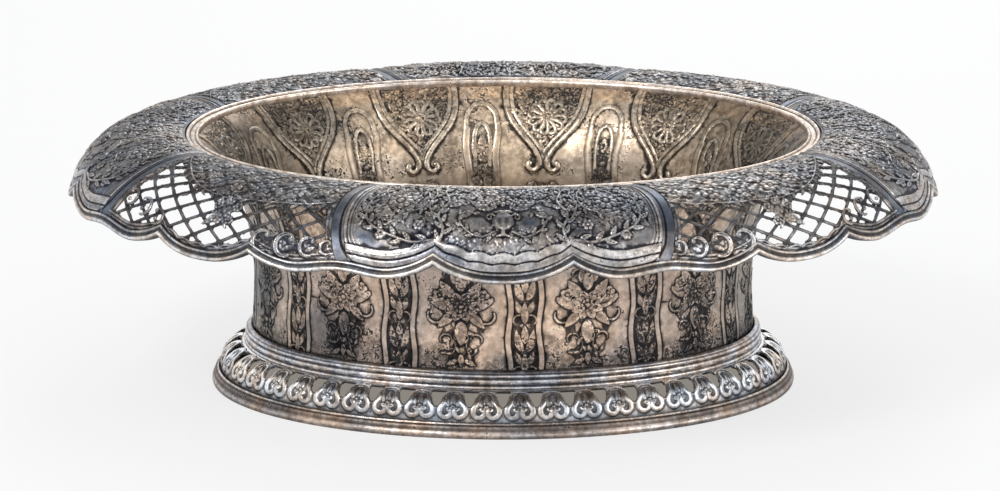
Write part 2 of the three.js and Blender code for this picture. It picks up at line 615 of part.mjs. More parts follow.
// Trellis: the panel is cut into diamond cells, and those in the pierced field are open. Between two open
// cells there is a bar, and a crossing where four of them meet. The strip under the edge wire's lap is one
// more row of facets, which meets the cells point by point.
function trellisSheet() {
  const outline = trellisOutline(SEAM / 2, WIRE_LAP, 0, 0);
  const field = trellisOutline(FIELD_SIDE, FIELD_EDGE, FIELD_TOP, GARLAND_SAG);
  const middle = ((CORNER_CUSP_A + CORNER_CUSP_B) / 2) * QUARTER;
  const place = (i, j) => new THREE.Vector2(middle + (i * MESH_ALONG) / 2, (-j * MESH_DOWN) / 2);
  const cells = new Map();
  const reach = Math.ceil(QUARTER / MESH_ALONG) + 1;
  const depth = Math.ceil((2 * RIM_LENGTH) / MESH_DOWN) + 1;
  for (let i = -reach; i <= reach; i++) {
    for (let j = 0; j <= depth; j++) {
      if ((i + j) % 2 !== 0) continue;
      const corners = diamond(place(i, j), MESH_ALONG / 2, MESH_DOWN / 2);
      const whole = corners.every((corner) => isInside(corner, outline));
      const hole = whole ? trellisHole(place(i, j), field) : [];
      cells.set(i + "," + j, { corners, hole, open: hole.length === 4 });
    }
  }
  const isOpen = (i, j) => cells.get(i + "," + j)?.open;
  const cornerOf = (i, j, k) => {
    const { corners, hole, open } = cells.get(i + "," + j);
    return open ? hole[k] : corners[k];
  };
  const isCrossing = (i, j) => isOpen(i - 1, j) && isOpen(i + 1, j) && isOpen(i, j - 1) && isOpen(i, j + 1);
  const sheet = new FlatSheet();
  for (const { corners, hole, open } of cells.values()) {
    if (!open) sheet.fill(clippedTo(corners, outline), hole.length === 3 ? [hole] : []);
  }

  // Corners of a cell are numbered from the left one round the bottom, the right and the top
  const [LEFT, BOTTOM, RIGHT, TOP] = [0, 1, 2, 3];
  for (let i = -reach + 1; i < reach; i++) {
    for (let j = 0; j < depth; j++) {
      if ((i + j) % 2 === 0) continue;
      if (isCrossing(i, j)) {
        const below = cornerOf(i, j + 1, TOP);
        const above = cornerOf(i, j - 1, BOTTOM);
        sheet.fill([cornerOf(i - 1, j, RIGHT), below, cornerOf(i + 1, j, LEFT), above]);
      }
      for (const way of [-1, 1]) {
        if (!isOpen(i + 1, j) && !isOpen(i, j + way)) continue;
        const start = isCrossing(i, j) ? [] : [place(i, j)];
        const end = isCrossing(i + 1, j + way) ? [] : [place(i + 1, j + way)];
        const near = [cornerOf(i + 1, j, LEFT), cornerOf(i + 1, j, way > 0 ? BOTTOM : TOP)];
        const far = [cornerOf(i, j + way, RIGHT), cornerOf(i, j + way, way > 0 ? TOP : BOTTOM)];
        const bar = [...start, ...near, ...end, ...far];
        sheet.fill(bar.filter((p, k) => p.distanceTo(bar[(k + 1) % bar.length]) > 1e-6));
      }
    }
  }
  const lapped = lobedSide(SEAM / 2, WIRE_LAP);
  const edge = lobedSide(SEAM / 2, 0);
  for (let i = 0; i + 1 < edge.length; i++) {
    const cut = pointsBetween(lapped[i + 1], lapped[i], sheet.points);
    sheet.fill([edge[i], edge[i + 1], lapped[i + 1], ...cut, lapped[i]]);
  }
  return sheet;
}

// The four corners of the bowl: the turn that each starts from and the way its shares run.
const quarters = [
  { name: "front_right", start: 0, way: 1 },
  { name: "back_right", start: 0.5, way: -1 },
  { name: "back_left", start: 0.5, way: 1 },
  { name: "front_left", start: 1, way: -1 },
];
const trellis = trellisSheet();
for (const { name, start, way } of quarters) {
  const place = (p, lift) => rimPoint(start + (way * p.x) / OVAL_LENGTH, -p.y, lift);
  addPiece("trellis_" + name, sheetSolid(trellis, place, way < 0), DARK_SILVER, 0.45);
}

// Edge wire: two beads outside and a groove inside that grips the panels' edge, in eight lengths that meet
// over the seams. Its profile is listed as (lift off the panels' face, distance inward from their edge).
const wireProfile = pointsOf(
  [SEAM, WIRE_LAP],
  [SEAM, -SEAM],
  [-SHEET - SEAM, -SEAM],
  [-SHEET - SEAM, WIRE_LAP / 2],
  [-SHEET - SEAM - WIRE_LEAF, -WIRE_PROUD],
  [WIRE_PROUD, -WIRE_PROUD / 2],
  [WIRE_GROOVE, WIRE_LAP / 3],
  [WIRE_INNER_BEAD, WIRE_LAP * (3 / 4)],
);

// At each point the wire follows the panel's last strip of facets: inward lies in that strip and the lift is
// square to it. At a bend both are stretched to the mitre of the two straight runs.
function edgeWire(run) {
  const points = run.map(({ turn, share }) => rimPoint(turn, edgeDistance(share), 0));
  const lapped = run.map(({ turn, share }) => rimPoint(turn, edgeDistance(share) - WIRE_LAP, 0));
  const straights = points.slice(1).map((p, i) => {
    const along = p.clone().sub(points[i]);
    const slope = lapped[i].clone().add(lapped[i + 1]).sub(points[i]).sub(p);
    const lift = along.clone().cross(slope).normalize();
    return { lift, inward: lift.clone().cross(along).normalize() };
  });
  const mitre = (a, b) => a.clone().add(b).divideScalar(1 + a.dot(b));
  const across = wireProfile.length;
  const last = points.length - 2;
  const vertices = [];
  const faces = [];
  for (let i = 1; i <= last; i++) {
    const inward = mitre(straights[i - 1].inward, straights[i].inward);
    const lift = mitre(straights[i - 1].lift, straights[i].lift);
    const ahead = points[i + 1].clone().sub(points[i - 1]).normalize();
    const clear = (i === 1 ? SEAM / 2 : 0) - (i === last ? SEAM / 2 : 0);
    const start = points[i].clone().addScaledVector(ahead, clear);
    vertices.push(...wireProfile.map((p) => {
      return start.clone().addScaledVector(lift, p.x).addScaledVector(inward, p.y);
    }));
    if (i === last) break;
    const [here, next] = [(i - 1) * across, i * across];
    faces.push(...wireProfile.flatMap((_, j) => {
      const up = (j + 1) % across;
      return [[here + j, next + j, next + up], [here + j, next + up, here + up]];
    }));
  }
  const end = (last - 1) * across;
  for (const [a, b, c] of THREE.ShapeUtils.triangulateShape(wireProfile, [])) {
    faces.push([a, b, c], [a + end, c + end, b + end]);
  }
  return solidFrom(vertices, faces);
}

// Points round the whole edge, and a length of wire between each two seams
const quarterShares = joined(longLobe, longFlank, cornerFlankA, cornerLobe, cornerFlankB, endFlank, endLobe);
const edgePoints = quarters.flatMap(({ start, way }) => {
  const shares = way > 0 ? quarterShares : [...quarterShares].reverse();
  return shares.slice(0, -1).map((share) => ({ turn: start + (way * share) / 4, share }));
});
const seamPlaces = [...edgePoints.keys()].filter((i) => {
  return edgePoints[i].share === LONG_SEAM_EDGE || edgePoints[i].share === END_SEAM_EDGE;
});
const wireNames = ["front_right", "right", "back_right", "back", "back_left", "left", "front_left", "front"];
seamPlaces.forEach((first, k) => {
  const next = k + 1 < seamPlaces.length ? seamPlaces[k + 1] : seamPlaces[0] + edgePoints.length;
  const run = steps(first - 1, next + 1, next - first + 2).map((i) => edgePoints[i % edgePoints.length]);
  addPiece("edge_wire_" + wireNames[k], edgeWire(run), DARK_SILVER, 0.35);
});

export default bowl;
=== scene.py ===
import math

import bpy
import numpy as np
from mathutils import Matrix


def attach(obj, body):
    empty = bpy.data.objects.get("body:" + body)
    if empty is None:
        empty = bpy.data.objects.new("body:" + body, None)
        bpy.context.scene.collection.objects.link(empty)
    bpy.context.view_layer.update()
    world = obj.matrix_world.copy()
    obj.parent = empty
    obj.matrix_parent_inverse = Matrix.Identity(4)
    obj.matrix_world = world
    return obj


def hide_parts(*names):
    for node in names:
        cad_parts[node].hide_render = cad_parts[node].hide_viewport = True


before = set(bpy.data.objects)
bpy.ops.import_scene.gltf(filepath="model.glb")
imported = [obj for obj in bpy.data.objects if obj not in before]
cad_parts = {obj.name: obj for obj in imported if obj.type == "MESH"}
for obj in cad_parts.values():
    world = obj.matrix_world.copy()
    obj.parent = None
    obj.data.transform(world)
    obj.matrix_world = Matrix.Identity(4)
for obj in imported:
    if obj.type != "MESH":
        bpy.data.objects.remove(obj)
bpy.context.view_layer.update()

# The bowl stands on a pale floor in soft studio light. The camera is 16 degrees above level and far off, with
# a long lens. The background is white, and the floor keeps the bowl's shadow.
MM = 0.001
CAMERA_DISTANCE = 2.414
CAMERA_RISE = math.radians(16.12)
CAMERA_UP = math.radians(1.657)  # how far above the foot's middle it looks
CAMERA_LEFT = math.radians(0.041)
LENS, SENSOR = 162, 36
FLOOR_SIZE = 6
PAINTED_FLOOR_SHADOW = (0.15, 0.113)  # half length and half width of the painted shadow: a darker oval on the floor seen through the foot
WHITE = (1, 1, 1, 1)

scene = bpy.context.scene
scene.view_settings.view_transform = "Standard"


class Value:
    """A result in a node tree, from which others are worked out as in a sum."""

    def __init__(self, tree, socket):
        self.tree, self.socket = tree, socket

    def maths(self, operation, a, b=0.0):
        return worked(self.tree, "ShaderNodeMath", {0: a, 1: b}, operation=operation)

    def __add__(self, other):
        return self.maths("ADD", self, other)

    def __sub__(self, other):
        return self.maths("SUBTRACT", self, other)

    def __rsub__(self, other):
        return self.maths("SUBTRACT", other, self)

    def __mul__(self, other):
        return self.maths("MULTIPLY", self, other)

    def __abs__(self):
        return self.maths("ABSOLUTE", self)

    def at_least(self, other):
        return self.maths("MAXIMUM", self, other)

    def clamped(self):
        self.socket.node.use_clamp = True
        return self

    def smooth(self, low, high, to_low=0.0, to_high=1.0):
        """Goes round from to_low to to_high while this value goes from low to high."""
        return worked(self.tree, "ShaderNodeMapRange", {
            "Value": self, "From Min": low, "From Max": high, "To Min": to_low, "To Max": to_high,
        }, "Result", interpolation_type="SMOOTHSTEP")


def add_node(tree, kind, inputs=(), **settings):
    """Adds a node with its settings, and its inputs as numbers, colours or values to link."""
    node = tree.nodes.new(kind)
    for name, value in settings.items():
        setattr(node, name, value)
    for name, value in dict(inputs).items():
        if isinstance(value, Value):
            tree.links.new(value.socket, node.inputs[name])
        else:
            node.inputs[name].default_value = value
    return node


def worked(tree, kind, inputs=(), output=0, **settings):
    return Value(tree, add_node(tree, kind, inputs, **settings).outputs[output])


def vector(tree, operation, a, b, output=0):
    second = "Scale" if operation == "SCALE" else 1
    return worked(tree, "ShaderNodeVectorMath", {0: a, second: b}, output, operation=operation)


def mix_colour(tree, share, a, b, blend="MIX"):
    return worked(tree, "ShaderNodeMix", {0: share, 6: a, 7: b}, 2, data_type="RGBA", blend_type=blend)


def own_place(tree):
    return worked(tree, "ShaderNodeTexCoord", output="Object")


def new_material(name):
    material = bpy.data.materials.new(name)
    material.use_nodes = True
    material.node_tree.nodes.clear()
    return material, material.node_tree


def seen_directly(tree):
    """1 for rays from the camera, from gloss and through glass, which see the white background."""
    path = add_node(tree, "ShaderNodeLightPath").outputs
    camera, gloss, glass = (Value(tree, path[f"Is {kind} Ray"]) for kind in ("Camera", "Glossy", "Transmission"))
    return camera.at_least(gloss).at_least(glass)


def make_world():
    world = bpy.data.worlds.new("studio")
    world.use_nodes = True
    tree = world.node_tree
    tree.nodes.clear()
    colour = mix_colour(tree, seen_directly(tree), (0.62, 0.63, 0.65, 1), WHITE)
    background = worked(tree, "ShaderNodeBackground", {"Color": colour})
    add_node(tree, "ShaderNodeOutputWorld", {"Surface": background})
    scene.world = world


def make_floor():
    """A matt floor that shows white to the camera, with a soft shadow, and a painted shadow: a dark warm oval
    inside the foot.
    """
    bpy.ops.object.select_all(action="DESELECT")
    bpy.ops.mesh.primitive_plane_add(size=FLOOR_SIZE)
    floor = bpy.context.object
    floor.name = "floor"
    material, tree = new_material("pale_floor")
    matt = worked(tree, "ShaderNodeBsdfDiffuse", {"Color": (0.86, 0.86, 0.86, 1)})
    # painted shadow: inside the foot's oval the camera sees a dark warm colour on the floor, standing for the shade
    # under the bowl
    scaled = vector(tree, "MULTIPLY", own_place(tree), (*(1 / half for half in PAINTED_FLOOR_SHADOW), 0))
    off_middle = vector(tree, "DISTANCE", scaled, (0, 0, 0), "Value")
    white_and_painted_shadow = mix_colour(tree, off_middle.maths("LESS_THAN", off_middle, 1.0), WHITE, (0.36, 0.33, 0.29, 1))
    white = worked(tree, "ShaderNodeEmission", {"Color": white_and_painted_shadow, "Strength": 1.0})
    mixed = worked(tree, "ShaderNodeMixShader", {0: 0.72, 1: matt, 2: white})
    direct = worked(tree, "ShaderNodeLightPath", output="Is Camera Ray")
    shown = worked(tree, "ShaderNodeMixShader", {0: direct, 1: matt, 2: mixed})
    add_node(tree, "ShaderNodeOutputMaterial", {"Surface": shown})
    floor.data.materials.append(material)


def add_softbox(name, place, size, watts):
    """A square light that is aimed at the middle of the bowl."""
    light = bpy.data.lights.new(name, "AREA")
    light.size = size
    light.energy = watts
    box = bpy.data.objects.new(name, light)
    scene.collection.objects.link(box)
    box.location = place
    aim = np.array((0, 0, 0.09)) - np.array(place)
    box.rotation_euler = (
        math.acos(-aim[2] / np.linalg.norm(aim)), 0, math.atan2(aim[1], aim[0]) - math.pi / 2,
    )


def make_camera():
    data = bpy.data.cameras.new("camera")
    data.lens = LENS
    data.sensor_width = SENSOR
    data.clip_end = 20
    camera = bpy.data.objects.new("camera", data)
    scene.collection.objects.link(camera)
    camera.location = (
        0, -CAMERA_DISTANCE * math.cos(CAMERA_RISE), CAMERA_DISTANCE * math.sin(CAMERA_RISE),
    )
    camera.rotation_euler = (math.pi / 2 - CAMERA_RISE + CAMERA_UP, 0, CAMERA_LEFT)
    scene.camera = camera


make_world()
make_floor()
make_camera()
add_softbox("key", (-0.9, -1.3, 1.5), 0.7, 16)
add_softbox("fill", (1.4, -1.0, 0.8), 0.9, 7)
add_softbox("back", (0.3, 1.5, 1.3), 0.9, 10)

# Foot ring: a thick drawn silver wire, bent to an oval and soldered. Its face is rounded, with a fine bead above
# it. Its shades are partly wear and partly painted light: bright and warm on its rounded face, a painted highlight
# on the bead, and painted shade in the cove and on its inner top under the skirt.
MOUTH_HALF_LENGTH = 168  # millimetres, as all sizes of the bowl below
MOUTH_HALF_WIDTH = 131
RING_PROFILE = [  # outward from the mouth oval, height, shade: 1 brightest, worn and a painted highlight; 0 darkest, a hollow and painted shade
    (-19.7, 0.0, 0.4), (-13.4, 0.0, 0.45), (-12.6, 0.4, 0.5), (-12.4, 1.2, 0.62), (-12.45, 2.2, 0.72),
    (-12.75, 3.0, 0.62), (-13.25, 3.5, 0.4), (-13.45, 4.2, 0.3), (-13.6, 5.1, 0.3), (-14.0, 6.0, 0.36),
    (-14.7, 6.7, 0.2), (-15.05, 7.0, 0.3), (-15.25, 7.6, 0.9), (-15.75, 7.95, 0.9), (-16.2, 7.5, 0.4),
    (-16.45, 6.6, 0.1), (-16.5, 6.1, 0.0), (-20, 6.1, 0.0), (-20, 0.4, 0.2),
]
CURVE_STEPS = 80  # between two of the oval's four control points
BUMP = 0.00025  # deepest pit of the worn surface


def drawn_ring(name, profile):
    """A closed profile swept round the mouth oval at a constant distance, with its shade as an attribute."""
    bpy.ops.object.select_all(action="DESELECT")
    bpy.ops.curve.primitive_bezier_circle_add(radius=1)
    ring = bpy.context.object
    ring.name = name
    bpy.ops.object.mode_set(mode="EDIT")
    bpy.ops.curve.select_all(action="SELECT")
    bpy.ops.transform.resize(value=(MOUTH_HALF_LENGTH * MM, MOUTH_HALF_WIDTH * MM, 1))
    bpy.ops.object.mode_set(mode="OBJECT")
    ring.data.dimensions = "2D"
    ring.data.fill_mode = "NONE"
    ring.data.resolution_u = CURVE_STEPS
    draw = bpy.data.curves.new(name + "_profile", "CURVE")
    spline = draw.splines.new("POLY")
    spline.points.add(len(profile) - 1)
    for point, (outward, height, _) in zip(spline.points, profile):
        point.co = (-outward * MM, height * MM, 0, 1)
    spline.use_cyclic_u = True
    plate = bpy.data.objects.new(name + "_profile", draw)
    scene.collection.objects.link(plate)
    ring.data.bevel_mode = "OBJECT"
    ring.data.bevel_object = plate
    bpy.ops.object.convert(target="MESH")
    bpy.data.objects.remove(plate)
    ring = bpy.context.object
    face_outward(ring, 50)
    shades = np.tile([shade for _, _, shade in profile], len(ring.data.vertices) // len(profile))
    set_shades(ring, relief=shades, busy=0.5, inside=0.0)
    return ring


def face_outward(piece, sharp_from):
    """Turns all faces outward, and shades them smooth over edges less sharp than an angle in degrees."""
    bpy.ops.object.mode_set(mode="EDIT")
    bpy.ops.mesh.select_all(action="SELECT")
    bpy.ops.mesh.normals_make_consistent(inside=False)
    bpy.ops.object.mode_set(mode="OBJECT")
    bpy.ops.object.shade_smooth_by_angle(angle=math.radians(sharp_from))


def set_shades(piece, **shades):
    """What the tarnish and the painted light and shade go by at each point: relief, busy, inside and outline."""
    count = len(piece.data.vertices)
    for name, values in shades.items():
        attribute = piece.data.attributes.new(name, "FLOAT", "POINT")
        attribute.data.foreach_set("value", np.broadcast_to(np.asarray(values, np.float32), count).copy())


def shade(tree, name):
    return worked(tree, "ShaderNodeAttribute", output="Fac", attribute_name=name)


def noise(tree, place, scale, detail, roughness):
    return worked(tree, "ShaderNodeTexNoise", {
        "Vector": place, "Scale": scale, "Detail": detail, "Roughness": roughness,
    })


def make_tarnish_and_painted_light():
    """Tarnished silver: worn bright ridges, dark hollows, a drifting film, and specks that gather round the relief,
    with a painted highlight on sawn edges and the painted light and shade that the relief attribute carries in
    places.
    """
    group = bpy.data.node_groups.new("tarnish", "ShaderNodeTree")
    amounts = ("Film Amount", "Speck Amount", "Contrast", "Rubbing And Highlight", "Tints", "Flat Film", "Lines")
    for way, kind, names in (
        ("INPUT", "NodeSocketColor", ("Bright", "Film", "Dark")),
        ("INPUT", "NodeSocketFloat", amounts),
        ("INPUT", "NodeSocketVector", ("Shift",)),
        ("OUTPUT", "NodeSocketColor", ("Color",)),
        ("OUTPUT", "NodeSocketFloat", ("Roughness", "Metallic", "Height")),
    ):
        for name in names:
            group.interface.new_socket(name, in_out=way, socket_type=kind)
    given = {socket.name: Value(group, socket) for socket in add_node(group, "NodeGroupInput").outputs}
    moved = vector(group, "ADD", own_place(group), given["Shift"])
    cloud = noise(group, moved, 20, 4, 0.55)
    cool = noise(group, moved, 55, 3, 0.6)
    patch = noise(group, moved, 110, 4, 0.6)
    fleck = noise(group, moved, 300, 4, 0.65)
    speck = noise(group, moved, 800, 3, 0.65)
    grain = noise(group, moved, 1600, 2, 0.6)

    # a film on the sheet, dark hollows and bright ridges: tarnish and wear, and where the relief attribute holds
    # painted light and shade, painted shade in the hollows and painted highlights on the ridges
    busy, relief = shade(group, "busy"), shade(group, "relief")
    film = cloud.smooth(0.42, 0.6) * given["Film Amount"]
    film = (film + busy.smooth(0.55, 0.1) * given["Flat Film"]).clamped()
    colour = mix_colour(group, film, given["Bright"], given["Film"])
    ridge_and_highlight = relief.smooth(0.53, 0.8)
    hollow = (relief.smooth(0.5, 0.2) * given["Contrast"]).clamped()
    colour = mix_colour(group, hollow, colour, given["Dark"])
    # the colour of worn bright ridges, also used for painted highlights on profile crests and sawn edges
    rubbed_and_highlight = mix_colour(group, 0.4, given["Bright"], (0.93, 0.86, 0.8, 1))
    colour = mix_colour(group, ridge_and_highlight * given["Rubbing And Highlight"], colour, rubbed_and_highlight)
    tint = mix_colour(group, cool.smooth(0.4, 0.6), (1.12, 0.97, 0.84, 1), (0.84, 0.98, 1.16, 1))
    colour = mix_colour(group, given["Tints"], colour, mix_colour(group, 1.0, colour, tint, "MULTIPLY"))

    # a painted highlight on the sawn edges, as if they catch the light, and a dark line runs round each chased
    # form, where its outline is just under 10
    colour = mix_colour(group, shade(group, "sawn") * 0.5, colour, rubbed_and_highlight)
    off_line = abs(shade(group, "outline") - 9.85)
    line = off_line.smooth(0.55, 0.25) * given["Lines"] * (1.0 - shade(group, "inside") * 0.4)
    colour = mix_colour(group, line, colour, given["Dark"])

    # uneven tone, and black specks
    reach = busy * given["Speck Amount"]
    depth = (reach * 0.9 + 0.3).clamped()
    mottle = (fleck.smooth(0.36, 0.64, 0.5, 1.45) - 1.0) * depth + 1.0
    colour = vector(group, "SCALE", colour, patch.smooth(0.32, 0.68, 0.74, 1.22) * mottle)
    level = 1.125 - reach * 0.24
    level = level - (cloud - 0.5) * given["Speck Amount"] * 0.5
    level = level - (patch - 0.5) * given["Speck Amount"] * 0.35
    specks = (speck + fleck * 0.8 - level).smooth(0.04, 0.075) * (1.0 - ridge_and_highlight * 0.75)
    add_node(group, "NodeGroupOutput", {
        "Color": mix_colour(group, specks * 0.93, colour, given["Dark"]),
        "Roughness": grain * 0.2 + 0.27 + specks * 0.25 - ridge_and_highlight * 0.1 + hollow * 0.12,
        "Metallic": 1.0 - specks * 0.3,
        "Height": patch * 0.7 - specks * 0.4 + grain * 0.3,
    })
    return group


tarnish = make_tarnish_and_painted_light()


def silver(name, bright, film, dark, film_amount=0.6, specks=0.5, contrast=0.9, rubbing_and_highlight=0.7, tints=0.4,
           flat_film=0.0, lines=0.0, painted_shading=None, recolour=None):
    """A silver finish. painted_shading is painted light and shade by height: a low and a high place on the bowl in
    mm, and the brightness the colour is scaled to at each.
    """
    material, tree = new_material(name)
    effect = add_node(tree, "ShaderNodeGroup", {
        "Bright": (*bright, 1), "Film": (*film, 1), "Dark": (*dark, 1), "Film Amount": film_amount,
        "Speck Amount": specks, "Contrast": contrast, "Rubbing And Highlight": rubbing_and_highlight, "Tints": tints,
        "Flat Film": flat_film, "Lines": lines, "Shift": (len(name) * 0.37, 0.2, 0.1),
    }, node_tree=tarnish)
    result = {name: Value(tree, effect.outputs[name]) for name in ("Color", "Roughness", "Metallic", "Height")}
    colour = result["Color"]
    # painted light and shade by height: the colour is scaled between two brightnesses from a low to a high place
    if painted_shading:
        up = worked(tree, "ShaderNodeSeparateXYZ", {0: own_place(tree)}, "Z")
        low, high, low_shading, high_shading = painted_shading
        colour = vector(tree, "SCALE", colour, up.smooth(low * MM, high * MM, low_shading, high_shading))
    if recolour:
        colour = recolour(tree, colour)
    bumps = worked(tree, "ShaderNodeBump", {"Height": result["Height"], "Distance": BUMP, "Strength": 0.6})
    metal = worked(tree, "ShaderNodeBsdfPrincipled", {
        "Base Color": colour, "Roughness": result["Roughness"], "Metallic": result["Metallic"], "Normal": bumps,
    })
    add_node(tree, "ShaderNodeOutputMaterial", {"Surface": metal})
    return material


def fit(piece, node, material):
    """Fixes a finished piece to the bowl in place of its CAD node."""
    piece.data.materials.clear()
    piece.data.materials.append(material)
    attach(piece, "root")
    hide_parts(node)


ring_silver = silver(
    "ring_silver", bright=(0.46, 0.37, 0.31), film=(0.24, 0.22, 0.21), dark=(0.055, 0.04, 0.032), film_amount=0.75,
    specks=0.8, rubbing_and_highlight=0.8, tints=0.5)
fit(drawn_ring("foot_ring_wire", RING_PROFILE), "foot_ring", ring_silver)

# Foot skirt: a shoulder raised from sheet, chased with 48 lappets and sawn through between their tops. Each
# lappet is a lobed arch round a trefoil with two scrolls and a bead.
SHEET = 1.4
LAPPETS = 48
SKIRT_OUTWARD = -16.7
SKIRT_TOP = 21.4
QUARTERS = ("front_right", "back_right", "back_left", "front_left")
FAR_OUTSIDE = -2.0
LAPPET_ARCH = [  # right half of the band, from its curled end up: across, up
    (2.3, 8.0), (1.1, 7.0), (1.2, 5.2), (2.9, 3.9), (5.2, 4.2), (6.7, 6.0), (6.6, 8.6), (5.4, 10.6), (4.5, 12.6),
    (4.3, 15.2), (2.9, 17.9), (0, 18.9),
]
LAPPET_GAP = [(9.0, 0.0), (10.2, 1.3), (11.6, 2.1), (14, 2.7), (17, 3.4), (19.4, 4.1), (20.3, 4.2)]


def oval_tables():
    """Angle and length along the mouth oval, from the middle of its front round by the right."""
    angle = np.linspace(-math.pi / 2, 1.5 * math.pi, 4001)
    x = MOUTH_HALF_LENGTH * np.cos(angle)
    y = MOUTH_HALF_WIDTH * np.sin(angle)
    return angle, np.concatenate([[0], np.cumsum(np.hypot(np.diff(x), np.diff(y)))])


oval_angle, oval_length = oval_tables()
OVAL = oval_length[-1]


def oval_place(turn, outward, height):
    """Points at a turn round the mouth oval, a distance out from it and a height, in metres."""
    angle = np.interp(np.mod(turn, 1) * OVAL, oval_length, oval_angle)
    x, y = np.cos(angle), np.sin(angle)
    normal_x, normal_y = x / MOUTH_HALF_LENGTH, y / MOUTH_HALF_WIDTH
    size = np.hypot(normal_x, normal_y)
    return MM * np.stack([
        MOUTH_HALF_LENGTH * x + normal_x / size * outward,
        MOUTH_HALF_WIDTH * y + normal_y / size * outward,
        height + 0 * x,
    ], -1)


def parallel_turn(outward, share):
    """The turn at an equal share of the oval that lies a distance out from the mouth oval."""
    turn = np.linspace(-0.25, 1.25, 6001)
    angle = np.interp(np.mod(turn, 1) * OVAL, oval_length, oval_angle)
    normal = np.arctan2(np.cos(angle) / MOUTH_HALF_LENGTH, -np.sin(angle) / MOUTH_HALF_WIDTH)
    ahead = normal - 2 * math.pi * turn
    turned = 2 * math.pi * turn + np.arctan2(np.sin(ahead), np.cos(ahead))
    length = turn * OVAL + outward * turned
    return np.interp(share * (OVAL + 2 * math.pi * outward), length, turn)


def blurred(values, cells):
    """The same map, softened over some cells each way."""
    for axis in (0, 0, 1, 1):
        padding = [(cells + 1, cells) if k == axis else (0, 0) for k in (0, 1)]
        total = np.cumsum(np.pad(values, padding, mode="edge"), axis)
        span = 2 * cells + 1
        ahead = np.take(total, np.arange(span, total.shape[axis]), axis)
        values = (ahead - np.take(total, np.arange(total.shape[axis] - span), axis)) / span
    return values


def flowing(points, steps=7):
    """A smooth line through the points."""
    p = np.asarray(points, float)
    p = np.vstack([2 * p[0] - p[1], p, 2 * p[-1] - p[-2]])
    t = np.linspace(0, 1, steps, endpoint=False)[:, None]
    line = [
        0.5 * (2 * b + (c - a) * t + (2 * a - 5 * b + 4 * c - d) * t**2 + (3 * b - a - 3 * c + d) * t**3)
        for a, b, c, d in zip(p[:-3], p[1:-2], p[2:-1], p[3:])
    ]
    return np.vstack([*line, p[-2]])


def along_line(line, length, at, reach):
    """The point at a length along a line, and the step from a little behind it to as far ahead."""
    here, ahead, behind = (
        [np.interp(at + off, length, line[:, i]) for i in (0, 1)] for off in (0, reach, -reach)
    )
    return *here, ahead[0] - behind[0], ahead[1] - behind[1]


